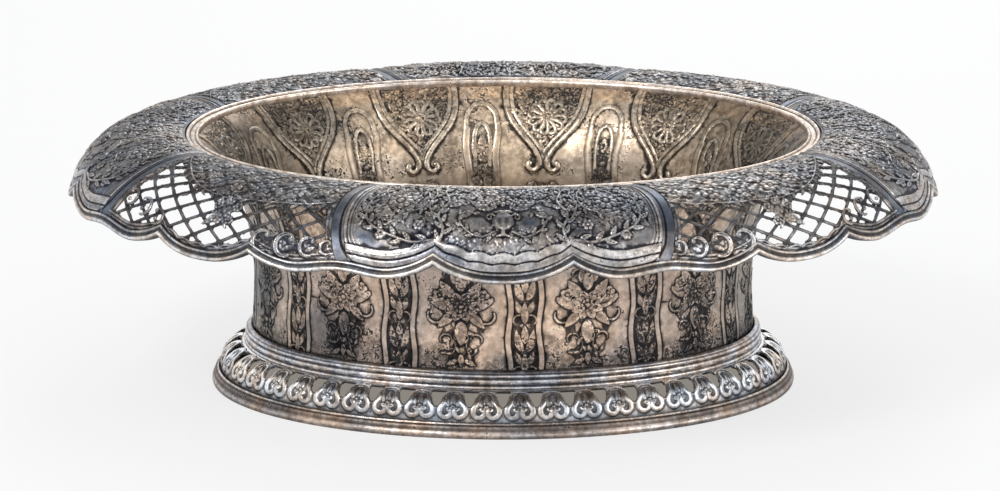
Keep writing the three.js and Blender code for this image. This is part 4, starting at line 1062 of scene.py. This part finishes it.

# Waist wire: a drawn moulding of two reeds between fillets, soldered round the foot of the body where it
# stands on the skirt.
# each point: outward, height, shade. The shades are partly wear and tarnish and partly painted light: painted
# highlights on the crests of the reeds, painted shade in the fillets between them and on the underside.
WAIST_PROFILE = [
    (-33.7, 21.7, 0.0), (-30.2, 21.7, 0.1), (-30.05, 22.2, 0.7), (-30.2, 22.9, 0.95), (-30.7, 23.3, 0.2),
    (-31.1, 23.6, 0.0), (-30.7, 24.1, 0.4), (-30.25, 25.0, 0.95), (-30.2, 25.8, 1.0), (-30.5, 26.6, 0.6),
    (-31.2, 27.0, 0.0), (-31.15, 27.3, 0.0), (-30.75, 27.8, 0.6), (-30.6, 28.5, 0.95), (-30.9, 29.1, 0.7),
    (-31.6, 29.5, 0.1), (-31.7, 29.8, 0.4), (-32.2, 30.5, 0.7), (-33.0, 30.95, 0.6), (-33.7, 31.0, 0.1),
]
moulding_silver = silver(
    "moulding_silver", bright=(0.62, 0.57, 0.54), film=(0.37, 0.36, 0.38), dark=(0.14, 0.135, 0.145),
    film_amount=0.9, specks=0.9, contrast=0.75, tints=0.6)
fit(drawn_ring("waist_moulding", WAIST_PROFILE), "waist_wire", moulding_silver)

# Collar: a drawn moulding with a satin flat between two beads. Its lip grips the body's top edge and its
# flange carries the rim panels.
# each point: outward, height, shade. The shades are partly wear and tarnish and partly painted light: painted
# highlights on the crests of the two beads, painted shade in the creases beside them and on the hidden lip and
# flange underneath.
COLLAR_PROFILE = [
    (-7.2, 131.2, 0.5), (-6.9, 131.0, 0.3), (-5.5, 131.0, 0.1), (-5.5, 129.1, 0.1), (-5.3, 129.0, 0.2),
    (-4.1, 129.0, 0.2), (4.0, 131.9, 0.1), (4.0, 133.3, 0.1), (0.1, 132.3, 0.0), (0.0, 133.4, 0.0),
    (-0.1, 133.9, 0.2), (-0.35, 134.6, 0.7), (-0.85, 135.15, 0.95), (-1.3, 135.3, 1.0), (-1.75, 135.15, 0.95),
    (-2.25, 134.6, 0.6), (-2.5, 134.0, 0.05), (-2.7, 133.9, 0.05), (-3.4, 134.1, 0.6), (-4.4, 134.0, 0.55),
    (-5.3, 133.9, 0.3), (-5.45, 133.95, 0.1), (-5.6, 134.4, 0.7), (-6.0, 134.8, 0.95), (-6.35, 134.9, 1.0),
    (-6.75, 134.7, 0.9), (-7.05, 134.2, 0.7), (-7.2, 133.4, 0.6),
]
collar_silver = silver(
    "collar_silver", bright=(0.6, 0.49, 0.4), film=(0.38, 0.31, 0.26), dark=(0.03, 0.028, 0.026), specks=0.7,
    tints=0.3)
fit(drawn_ring("mouth_moulding", COLLAR_PROFILE), "mouth_collar", collar_silver)

# Cartouches: four panels of the rim, embossed from behind. Fine cords follow each seam, two ribbons run along
# the lobed edge, and the three fields hold an urn of flowers between curling branches.
SEAM = 0.3
QUARTER = OVAL / 4
CREST_OUT, CREST_HEIGHT, ARC_OUT, ARC_DROP = 16, 137.3, 44, 33.3
ARC_START = math.acos((SEAM - CREST_OUT) / ARC_OUT)
LONG_CUSP, CORNER_CUSP_A, CORNER_CUSP_B, END_CUSP = 0.115, 0.43, 0.61, 0.9
CUSP_DEPTH, CORNER_CUSP_DEPTH = 9, 7.5
LONG_SEAM_EDGE = (LONG_CUSP + CORNER_CUSP_A) / 2
END_SEAM_EDGE = (CORNER_CUSP_B + END_CUSP) / 2

arc_angle = np.linspace(ARC_START, 0, 1001)
arc_line, arc_length = curve_table(np.column_stack([
    CREST_OUT + ARC_OUT * np.cos(arc_angle), CREST_HEIGHT - ARC_DROP + ARC_DROP * np.sin(arc_angle),
]))
RIM_LENGTH = arc_length[-1]
URN = [  # half of its outline: height, out
    (0, 3.2), (1, 3.4), (1.4, 1.6), (3.2, 1.1), (4, 1.6), (4.6, 3.4), (7, 5.4), (10, 6.0), (12.5, 5.0),
    (13.6, 3.4), (14.6, 3.3), (15.2, 4.8), (16, 5.0),
]
URN_FOOT = -56
FIELD_LEAVES = (  # out, up, angle from level, length
    (3, -38, 62, 11), (6, -38, 24, 12), (4, -38, -6, 9), (9, -30, 58, 9), (14, -30, 30, 9), (3, -26, 80, 8),
    (11, -20, 66, 9), (15, -21, 24, 9), (2, -12, 70, 8), (7, -9, 35, 7), (17, -34, -28, 8), (13, -41, -40, 8),
)
FIELD_FLOWERS = (  # out, up, radius
    (34, -50, 3.2), (32, -6.5, 3.0), (54, -24, 2.8), (57, -40, 2.8), (38, -6, 3.4), (49, -56, 3),
)
URN_FLOWERS = (  # along, up, radius, petals
    (0, -31, 5.2, 8), (-8.5, -34, 4.0, 6), (8.5, -34, 4.0, 6), (-5, -23, 3.8, 5), (5.5, -23.5, 3.8, 5),
    (0, -15.5, 4.2, 7), (-13.5, -27, 3.2, 5), (13.5, -27, 3.2, 5), (-9.5, -14.5, 3.2, 5), (9.5, -14.5, 3.2, 5),
)


def rim_place(turn, distance, lift):
    """A point on the rim: a turn, a distance from the collar measured on the surface, and a lift off it."""
    angle = np.interp(distance, arc_length, arc_angle)
    normal_x, normal_y = np.cos(angle) / ARC_OUT, np.sin(angle) / ARC_DROP
    size = np.hypot(normal_x, normal_y)
    outward = CREST_OUT + ARC_OUT * np.cos(angle) + normal_x / size * lift
    height = CREST_HEIGHT - ARC_DROP + ARC_DROP * np.sin(angle) + normal_y / size * lift
    return oval_place(turn, outward, height)


def edge_distance(share):
    """Distance from the collar to the lobed edge at a share of a quarter, from the front to an end."""
    share = np.asarray(share, float)

    def middle_lobe(x, depth):
        return depth * np.abs(x) ** 2.4

    def flank(start, end, before, after):
        off = (share - start) / (end - start) - 0.5
        sway = np.cos(math.pi / 2 * np.minimum(np.abs(off) / 0.3, 1)) ** 2
        return np.where(off < 0, before, after) * np.abs(2 * off) ** 3.5 + 3.4 * sway

    cut = np.select([share < LONG_CUSP, share < CORNER_CUSP_A, share < CORNER_CUSP_B, share < END_CUSP], [
        middle_lobe(share / LONG_CUSP, CUSP_DEPTH),
        flank(LONG_CUSP, CORNER_CUSP_A, CUSP_DEPTH, CORNER_CUSP_DEPTH),
        middle_lobe((2 * share - 1.04) / 0.18, CORNER_CUSP_DEPTH),
        flank(CORNER_CUSP_B, END_CUSP, CORNER_CUSP_DEPTH, CUSP_DEPTH),
    ], middle_lobe((1 - share) / (1 - END_CUSP), CUSP_DEPTH))
    return RIM_LENGTH - cut


def seam_share(top, bulge, edge, down):
    """Where a seam is, as a share of the quarter, at a share of the way down to the edge."""
    return top * (1 - down) + edge * down + 4 * (bulge - (top + edge) / 2) * down * (1 - down)


def long_seam(down):
    return seam_share(0.27, 0.3, LONG_SEAM_EDGE, down)


def end_seam(down):
    return seam_share(0.73, 0.715, END_SEAM_EDGE, down)


def rim_stretch(y):
    """How much longer a step along the rim is than at the mouth, on average."""
    return 1 + 0.0058 * float(np.interp(-y, arc_length, arc_line[:, 0]))


def smaller(a, b, round_off):
    """The smaller of two distances, rounded off where they meet."""
    blend = np.clip(0.5 + 0.5 * (b - a) / round_off, 0, 1)
    return b * (1 - blend) + a * blend - round_off * blend * (1 - blend)


def chase_borders(plate, seam, edge_at):
    """Cords along the seams and ribbons along the edge. Returns the distance in from the whole border."""
    x, y = np.meshgrid(plate.x, plate.y)
    share = np.clip(np.abs(x) / QUARTER, 0, 0.5)
    edge = edge_at(share)
    down = np.clip(-y / edge, 0, 1)
    wide = np.vectorize(plate.stretch)(plate.y)[:, None]
    from_side = (seam(down) * QUARTER - np.abs(x)) * wide
    from_edge = edge + y
    border = smaller(smaller(from_side, from_edge + 1.5, 10), 10.6 - y * 1.1, 5)
    inset = smaller(from_side, from_edge + 3, 12)
    for at, width, lift in ((7.6, 1.5, 0.55), (9.4, 1.0, 0.4), (11.0, 0.8, 0.3)):
        plate.lift = np.maximum(plate.lift, lift * line_at(inset, at, width))
    plate.soil -= 0.5 * (inset < 6.8)
    middle = share < LONG_CUSP * 0.995
    clear = from_side > 7
    scallop = np.abs(np.cos(x * math.pi / 9))
    top = np.where(middle, 11.4 + 1.5 * scallop, 11.8)
    parting = np.where(middle, 7.2 + 0.9 * scallop, 7.2)
    for low, high, lift, tone in ((parting + 0.3, top, 0.8, 0.34), (3.4, parting - 0.3, 0.6, 0.0)):
        across = np.abs((2 * from_edge - low - high) / (high - low))
        ribbon = np.sqrt(np.clip(1 - across**3, 0, 1)) * (middle | clear)
        plate.lift = np.maximum(plate.lift, lift * ribbon)
        plate.tone += tone * (ribbon > 0.3)
    plate.tone -= 0.04 * (inset < 6.6)
    sides = ~middle & clear
    grooves = [(line_at(inset, 4.8, 1.3), 0.3, 0.2)]
    grooves += [(line_at(from_edge, at, 0.7) * sides, 0.22, 0.14) for at in (8.6, 9.7, 10.8)]
    grooves += [(line_at(from_edge, at, 0.9) * (middle | clear), 0.2, 0.3) for at in (parting, top + 0.5)]
    for mark, depth, darker in grooves:
        plate.lift -= depth * mark
        plate.tone -= darker * mark
    plate.soil += 0.3 * (from_edge < 11)
    return border


def chase_urn(plate):
    """A fluted urn in half relief, with two scrolled handles."""
    ups, outs = zip(*URN)
    part, dx, dy = plate.around(0, URN_FOOT + 8, 9)
    up = dy + 8
    half = np.where((up < 0) | (up > 16), 0.01, np.interp(up, ups, outs))
    body = np.sqrt(np.clip(1 - (dx / half) ** 2, 0, 1))
    flutes = 1 + 0.12 * np.cos(np.arcsin(np.clip(dx / half, -1, 1)) * 9) * ((up > 4.6) & (up < 10))
    band = 1 + 0.15 * ((up > 10.4) & (up < 12))
    plate.raise_to(part, 1.7 * body * flutes * band)
    for side in (-1, 1):
        handle = side * 7 / plate.stretch(URN_FOOT)
        plate.scroll(handle, URN_FOOT + 11.5, 2.4, 90 + side * 80, side * -1.1, 1.1, 1.3)


def chase_fields(plate, reach):
    """Foliage of a cartouche: an urn of flowers in the middle, and a curling branch with a rosette each side."""
    chase_urn(plate)
    for half in plate.halves(0):
        for out, y, angle, length in FIELD_LEAVES:
            half.leaf(out, y, 90 - angle, length, length * 0.42, 1.1, 4, 0.15)
        half.vine([(3.5, -53), (9, -56), (15, -52), (18, -45), (15, -40), (11, -42)], 1.2, 1.0, 5.6, 3.6)
        half.vine([(25.5, -60), (24, -52), (26.5, -43), (23, -33), (25.5, -22), (22, -12), (24, -3)],
                  2.0, 1.4, 7.0, 3.4, 55, 4)
        half.vine([(25, -30), (20.5, -24), (18, -15), (20, -7)], 1.3, 1.1, 5.0, 3.2, 50)
        middle = 43 * reach
        curl = [(middle + a, b) for a, b in (
            (11, -50), (14, -36), (9, -20), (-2, -15), (-10, -24), (-10, -37), (-2, -44),
        )]
        half.vine([(28, -58), (38 * reach, -59), *curl], 1.6, 1.25, 7.4, 3.4, 50, 4, half.side)
        half.flower(middle + 1, -33, 6.6, 9, 1.5, 0.3)
        half.vine([(28, -46), (31, -36), (29, -26), (32, -16), (38, -9)], 1.3, 1.1, 6.0, 3.3, 52, 4, -half.side)
        half.vine([(30, -20), (27.5, -12), (31, -5)], 1.1, 1.0, 4.6, 3.0)
        half.vine([(40, -8), (47 * reach, -7), (55 * reach, -13)], 1.2, 1.2, 6.0, 3.2)
        for out, y, radius in FIELD_FLOWERS:
            half.flower(out * reach, y, radius, 6, 1.3)
    for x, y, radius, petals in URN_FLOWERS:
        plate.flower(x, y, radius, petals, 1.6)


def chase_cartouche(seam, edge_at, reach, seed):
    """A whole cartouche, flat, with the finest ground foliage thrown in last."""
    plate = Plate((-74, 74), (-RIM_LENGTH - 0.5, 0.5), 0.27, rim_stretch)
    border = chase_borders(plate, seam, edge_at)
    frame_work = plate.lift.copy()
    plate.lift[:] = 0
    chase_fields(plate, reach)
    plate.thicket((-70, 70), (-34, 0), 1500, 3.6, 0.95, seed)
    for side in (-1, 1):
        plate.thicket(sorted((side * 26, side * 66)), (-50, -34), 380, 3.4, 0.8, seed + 10 + side)
    plate.thicket((-30, 30), (-66, -50), 320, 2.6, 0.6, seed + 20)
    plate.thicket((-70, 70), (-66, -34), 500, 2.0, 0.4, seed + 30)
    inside = np.clip((border - 11.4) / 0.7, 0, 1)
    rise = 0.55 + 0.45 * blurred((plate.lift > 0.2).astype(float), 9)
    plate.lift = np.where(inside > 0, np.maximum(plate.lift * inside * rise, frame_work), frame_work)
    plate.within[inside < 0.5] = FAR_OUTSIDE

    columns, rows = np.linspace(-1, 1, 470), np.linspace(1, 0, 230)
    across, down = np.meshgrid(columns, rows)
    edge = edge_at(np.abs(across) * seam(1.0))
    x = across * (seam(down) * QUARTER - SEAM / 2)
    return plate, flat_sheet(plate, x, -down * edge, 72000)


def cartouche_place(middle, seam, edge_at, dome_height):
    def risen(off):
        share = np.clip((1 - np.abs(off) - 0.2) / 0.26, 0, 1)
        return share**2 * (3 - 2 * share)

    def place(x, y, lift):
        share = np.abs(x) / QUARTER
        down = np.clip(-y / edge_at(np.minimum(share, seam(1.0))), 0, 1)
        dome = dome_height * risen(share / seam(down)) * risen(2 * down - 1)
        return rim_place(middle + x / OVAL, -y, lift + dome)
    return place


def end_reach(down):
    return 1 - end_seam(down)


def end_edge(share):
    return edge_distance(1 - share)


# painted shade: the cartouches' colour is scaled from 1.4 low down to 0.65 at the crest, darker towards the top
cartouche_silver = silver(
    "cartouche_silver", bright=(0.3, 0.28, 0.268), film=(0.085, 0.1, 0.13), dark=(0.012, 0.013, 0.018),
    film_amount=0.85, contrast=0.95, rubbing_and_highlight=0.55, tints=0.32, flat_film=0.6, lines=0.6,
    painted_shading=(106, 134, 1.4, 0.65))
LONG_DOME, END_DOME = 1.2, 0.0
long_panel = (*chase_cartouche(long_seam, edge_distance, 1.0, 3), long_seam, edge_distance, LONG_DOME)
end_panel = (*chase_cartouche(end_reach, end_edge, 0.95, 5), end_reach, end_edge, END_DOME)
for k, name in enumerate(("front", "right", "back", "left")):
    plate, sheet, *form = (long_panel, end_panel)[k % 2]
    piece = bent_copy(sheet, "rim_cartouche_" + name, plate, cartouche_place(k / 4, *form))
    fit(piece, "cartouche_" + name, cartouche_silver)
for panel in (long_panel, end_panel):
    bpy.data.objects.remove(panel[1])

# Trellis panels: four panels of the rim between the cartouches, sawn out in diamonds. A garland hangs from
# the collar, a bunch of flowers lies on the bars, and scrolls stand in a row over the outer lobes.
FROM_LONG_SIDES = tuple(zip(QUARTERS, (0, 0.5, 0.5, 1), (1, -1, 1, -1)))  # name, turn it starts at, and its way
BAR_WIDTH = 1.85
BARS = ((-0.0877, 0.0859, -0.05), (-0.0692, -0.0969, 0.31))  # bars in 1 mm along, bars in 1 mm up, start
GARLAND = [  # along, and how far down it hangs there
    (56, 30), (64, 36), (73, 40), (84, 43.5), (99, 45), (112, 46), (120, 47), (130, 45), (138, 42), (146, 37),
    (153, 31), (160, 25), (168, 18), (176, 12), (184, 8),
]
WAVE_SCROLLS = [(69.5, -64.8, 3.4), (77, -65.2, 4.6), (86.4, -65.4, 5.6), (96.6, -64.6, 5.2)]
GARLAND_FLOWERS = (  # along, up, radius
    (76, -29, 5), (92, -32, 5.4), (106, -31, 5), (122, -33, 5.6), (136, -30, 5), (149, -23, 4.4),
    (80, -14, 5), (96, -17, 5.4), (112, -16, 5), (128, -18, 5), (144, -14, 4.6), (160, -13, 4),
)
BUNCH_LEAVES = (  # angle, length, width
    (-47, 13, 5.4), (-12, 8, 3.6), (-125, 10, 4.6), (-160, 8, 3.8), (150, 8, 4), (30, 8, 4), (-85, 8, 4),
    (75, 8, 4), (108, 8, 4),
)
BUNCH_FLOWERS = (  # along and up from its middle, radius
    (0, 0, 4.2), (-4.6, 3.5, 3.2), (4.2, 3.4, 3.2), (-3.6, -4.4, 2.8), (3.4, -4.2, 2.8), (0.2, 7, 3),
)
END_SCROLLS = [(147.5, -62.6, 4.0), (156.5, -59.2, 4.6), (166, -56.6, 4.2)]


def chase_bars(plate):
    """The crossing bars, rounded on top. Returns where they are solid."""
    x, y = np.meshgrid(plate.x, plate.y)
    wide = np.vectorize(plate.stretch)(plate.y)[:, None]
    solid = np.zeros(x.shape, bool)
    for along, up, start in BARS:
        phase = along * x + up * y + start
        away = np.abs(phase - np.round(phase)) / np.hypot(along / wide, up)
        solid |= away < BAR_WIDTH / 2
        plate.lift = np.maximum(plate.lift, 0.45 * line_at(away, 0, BAR_WIDTH))
    return solid


def chase_trellis():
    """A whole trellis panel, flat: its bars, what lies on them, and its openings."""
    plate = Plate((56, 184), (-RIM_LENGTH - 0.5, 0.5), 0.25, rim_stretch)
    x, y = np.meshgrid(plate.x, plate.y)
    share = np.clip(x / QUARTER, 0, 1)
    edge = edge_distance(share)
    down = np.clip(-y / edge, 0, 1)
    wide = np.vectorize(plate.stretch)(plate.y)[:, None]
    from_side = np.minimum(x - long_seam(down) * QUARTER, end_seam(down) * QUARTER - x) * wide
    from_edge = edge + y
    garland = np.interp(x, *zip(*GARLAND))
    solid = chase_bars(plate)
    bars = plate.lift.copy()
    plate.tone -= 0.36 * solid
    plate.tone_inside -= 0.2 * solid

    plate.lift[:] = 0
    plate.within[:] = FAR_OUTSIDE
    hem = [(a, 3 - b) for a, b in GARLAND[:-1]]
    strand = (1.3, 0.8, 7.0, 3.6, 48, 3)
    for share_down, shape in ((1, (1.4, 0.9, 6.5, 3.0, 56, 4)), (0.3, strand), (0.62, strand)):
        for points, first in ((hem[:7], 1), (hem[:5:-1], -1)):
            plate.vine([(a, share_down * b) for a, b in points], *shape, first)
    for centre_x, centre_y, radius in GARLAND_FLOWERS:
        plate.flower(centre_x, centre_y, radius, 7, 1.2)
    for angle, length, width in BUNCH_LEAVES:
        plate.leaf(117.5, -53, angle, length, width, 1.25, 4, 0.12, 0.3)
    for dx, dy, radius in BUNCH_FLOWERS:
        plate.flower(117 + dx, -52.5 + dy, radius, 6, 1.6)
    for centre_x, centre_y, size in WAVE_SCROLLS:
        plate.crescent(centre_x, centre_y, size, 125, -115, 0.52 * size, 1.25)
        plate.leaf(centre_x + 0.2 * size, centre_y - 0.5 * size, 150, 1.3 * size, 0.6 * size, 0.7, 3, 0.1, 0.4)
    for centre_x, centre_y, size in END_SCROLLS:
        plate.crescent(centre_x, centre_y, size, 60, 280, 0.46 * size, 1.25)
        plate.bead(centre_x + 0.2 * size, centre_y - 0.3 * size, 0.3 * size, 0.9)
    flowers = plate.lift.copy()
    solid |= flowers > 0.25
    plate.tone += 0.06 * (flowers > 0.25)

    corner = (share > CORNER_CUSP_A) & (share < CORNER_CUSP_B)
    strip = np.where(corner, 5.6 + 1.3 * np.abs(np.sin(x * math.pi / 6.4)), 7.0)
    for centre_x, centre_y, size in WAVE_SCROLLS:
        solid |= np.hypot((x - centre_x) * wide, y - centre_y) < size
    solid |= (from_side < 3.2) | (from_edge < strip) | (-y < garland - 2)
    plate.lift = flowers
    plate.thicket((58, 182), (-46, -1), 850, 5.0, 0.7, 8)
    plate.thicket((64, 102), (-71, -59), 160, 2.4, 0.5, 9)
    grounded = (-y < garland) | ((share < CORNER_CUSP_A) & (from_edge > 7.4) & (-y > 55))
    flowers = np.maximum(flowers, plate.lift * blurred(grounded.astype(float), 2))
    lines = ((from_edge, strip - 0.9, 1.4, 0.7), (from_edge, 4.4, 0.9, 0.4), (from_side, 2.4, 1.1, 0.5))
    frame_work = np.maximum.reduce([lift * line_at(away, at, width) for away, at, width, lift in lines])
    plate.lift = np.maximum(np.maximum(bars * (-y > garland - 3) * (from_edge > strip), flowers), frame_work)
    solid = blurred(solid.astype(float), 1) - 0.5

    columns, rows = np.linspace(0, 1, 460), np.linspace(1, 0, 240)
    across, down = np.meshgrid(columns, rows)
    edge = edge_distance(LONG_SEAM_EDGE + (END_SEAM_EDGE - LONG_SEAM_EDGE) * across)
    left, right = long_seam(down) * QUARTER + SEAM / 2, end_seam(down) * QUARTER - SEAM / 2
    return plate, flat_sheet(plate, left + (right - left) * across, -down * edge, 46000, solid)


def trellis_place(start, way):
    def place(x, y, lift):
        return rim_place(start + way * x / OVAL, -y, lift)
    return place


# painted shade: the trellis colour is scaled from 1.3 low down to 0.76 at the crest, darker towards the top
trellis_silver = silver(
    "trellis_silver", bright=(0.31, 0.285, 0.265), film=(0.115, 0.118, 0.13), dark=(0.022, 0.022, 0.026),
    film_amount=0.8, contrast=0.85, rubbing_and_highlight=0.34, tints=0.5, lines=0.5, painted_shading=(112, 134, 1.3, 0.76))
trellis_plate, trellis_sheet = chase_trellis()
for name, start, way in FROM_LONG_SIDES:
    piece = bent_copy(trellis_sheet, "rim_trellis_" + name, trellis_plate, trellis_place(start, way), way < 0)
    fit(piece, "trellis_" + name, trellis_silver)
bpy.data.objects.remove(trellis_sheet)

# Edge wire: a drawn moulding bent to the lobes in eight lengths, mitred at the cusps. It has an outer bead, a
# groove and a finer inner bead, and a slot that grips the panels. Its shades paint light on it: a painted highlight
# along the crest of each bead, and painted shade in the groove and on its lower side.
WIRE_PROFILE = [  # lift off the panels, distance in from their edge, shade: 1 a painted highlight, near 0 painted shade
    (0.3, 3.2, 0.1), (0.3, -0.3, 0.1), (-1.7, -0.3, 0.1), (-1.7, 1.6, 0.2), (-2.1, 1.2, 0.3), (-2.5, 0.3, 0.35),
    (-2.7, -0.9, 0.35), (-2.5, -1.7, 0.35), (-1.8, -2.15, 0.3), (-0.8, -2.2, 0.26), (0.3, -2.2, 0.26),
    (1.2, -2.1, 0.3), (1.8, -1.75, 0.42), (2.1, -1.3, 0.7), (2.2, -0.9, 1.0), (2.1, -0.45, 0.8), (1.75, -0.1, 0.44),
    (1.3, 0.3, 0.26), (1.0, 0.8, 0.18), (0.95, 1.3, 0.18), (1.1, 1.7, 0.28), (1.4, 2.0, 0.46), (1.6, 2.3, 0.66),
    (1.5, 2.7, 0.56), (1.1, 3.05, 0.36), (0.7, 3.25, 0.16),
]
WIRE_LAP = 3.2
MARKS = (  # where the edge turns or a length ends, in shares of a quarter, and the steps up to there
    (LONG_CUSP, 36), (LONG_SEAM_EDGE, 44), (CORNER_CUSP_A, 44), (CORNER_CUSP_B, 56), (END_SEAM_EDGE, 44),
    (END_CUSP, 44), (1, 34),
)
PAST_SEAM = 0.004


def bend_wire(name, turns, shares):
    """A length of the edge wire between two seams, with its first and last points just past them."""
    points = rim_place(turns, edge_distance(shares), 0)
    lapped = rim_place(turns, edge_distance(shares) - WIRE_LAP, 0)

    def unit(v):
        return v / np.linalg.norm(v, axis=-1, keepdims=True)

    along = points[1:] - points[:-1]
    slope = lapped[1:] + lapped[:-1] - points[1:] - points[:-1]
    lift = unit(np.cross(along, slope))
    inward = unit(np.cross(lift, along))

    def mitre(v):
        return (v[:-1] + v[1:]) / (1 + np.sum(v[:-1] * v[1:], -1, keepdims=True))

    lift, inward = mitre(lift), mitre(inward)
    profile = np.array(WIRE_PROFILE)
    rows = points[1:-1, None] + MM * (lift[:, None] * profile[:, 0, None] + inward[:, None] * profile[:, 1, None])
    stations, across = rows.shape[:2]
    here = np.arange(stations - 1)[:, None] * across
    j = np.arange(across)
    up = (j + 1) % across
    faces = np.stack([here + j, here + across + j, here + across + up, here + up], -1).reshape(-1, 4).tolist()
    ends = [list(range(across)), list(range((stations - 1) * across, stations * across))[::-1]]
    mesh = bpy.data.meshes.new(name)
    mesh.from_pydata(rows.reshape(-1, 3).tolist(), [], faces + ends)
    wire = bpy.data.objects.new(name, mesh)
    scene.collection.objects.link(wire)
    bpy.ops.object.select_all(action="DESELECT")
    bpy.context.view_layer.objects.active = wire
    wire.select_set(True)
    face_outward(wire, 45)
    set_shades(wire, relief=np.tile(profile[:, 2], stations), busy=0.55, inside=0.0)
    return wire


def wire_lengths():
    """Each length of the edge wire: its name, and its points as turns and as shares of a quarter."""
    marks, before = [0.0], 0
    for mark, steps in MARKS:
        marks += list(np.linspace(before, mark, steps)[1:])
        before = mark
    marks = np.array(marks).round(8)
    long = marks[marks <= LONG_SEAM_EDGE + PAST_SEAM]
    side = marks[(marks >= LONG_SEAM_EDGE - PAST_SEAM) & (marks <= END_SEAM_EDGE + PAST_SEAM)]
    end = 1 - marks[marks >= END_SEAM_EDGE - PAST_SEAM]
    long, end = np.concatenate([-long[:0:-1], long]), np.concatenate([-end, end[-2::-1]])
    yield from (("front", long / 4, np.abs(long)), ("back", 0.5 + long / 4, np.abs(long)))
    yield from (("right", 0.25 + end / 4, 1 - np.abs(end)), ("left", 0.75 + end / 4, 1 - np.abs(end)))
    for name, start, way in FROM_LONG_SIDES:
        yield name, start + way * side[::way] / 4, side[::way]


edge_silver = silver(
    "edge_silver", bright=(0.6, 0.56, 0.52), film=(0.17, 0.175, 0.195), dark=(0.03, 0.03, 0.034), film_amount=0.85,
    specks=0.8, rubbing_and_highlight=0.9, tints=0.5)
for name, turns, shares in wire_lengths():
    fit(bend_wire("rim_wire_" + name, turns, shares), "edge_wire_" + name, edge_silver)
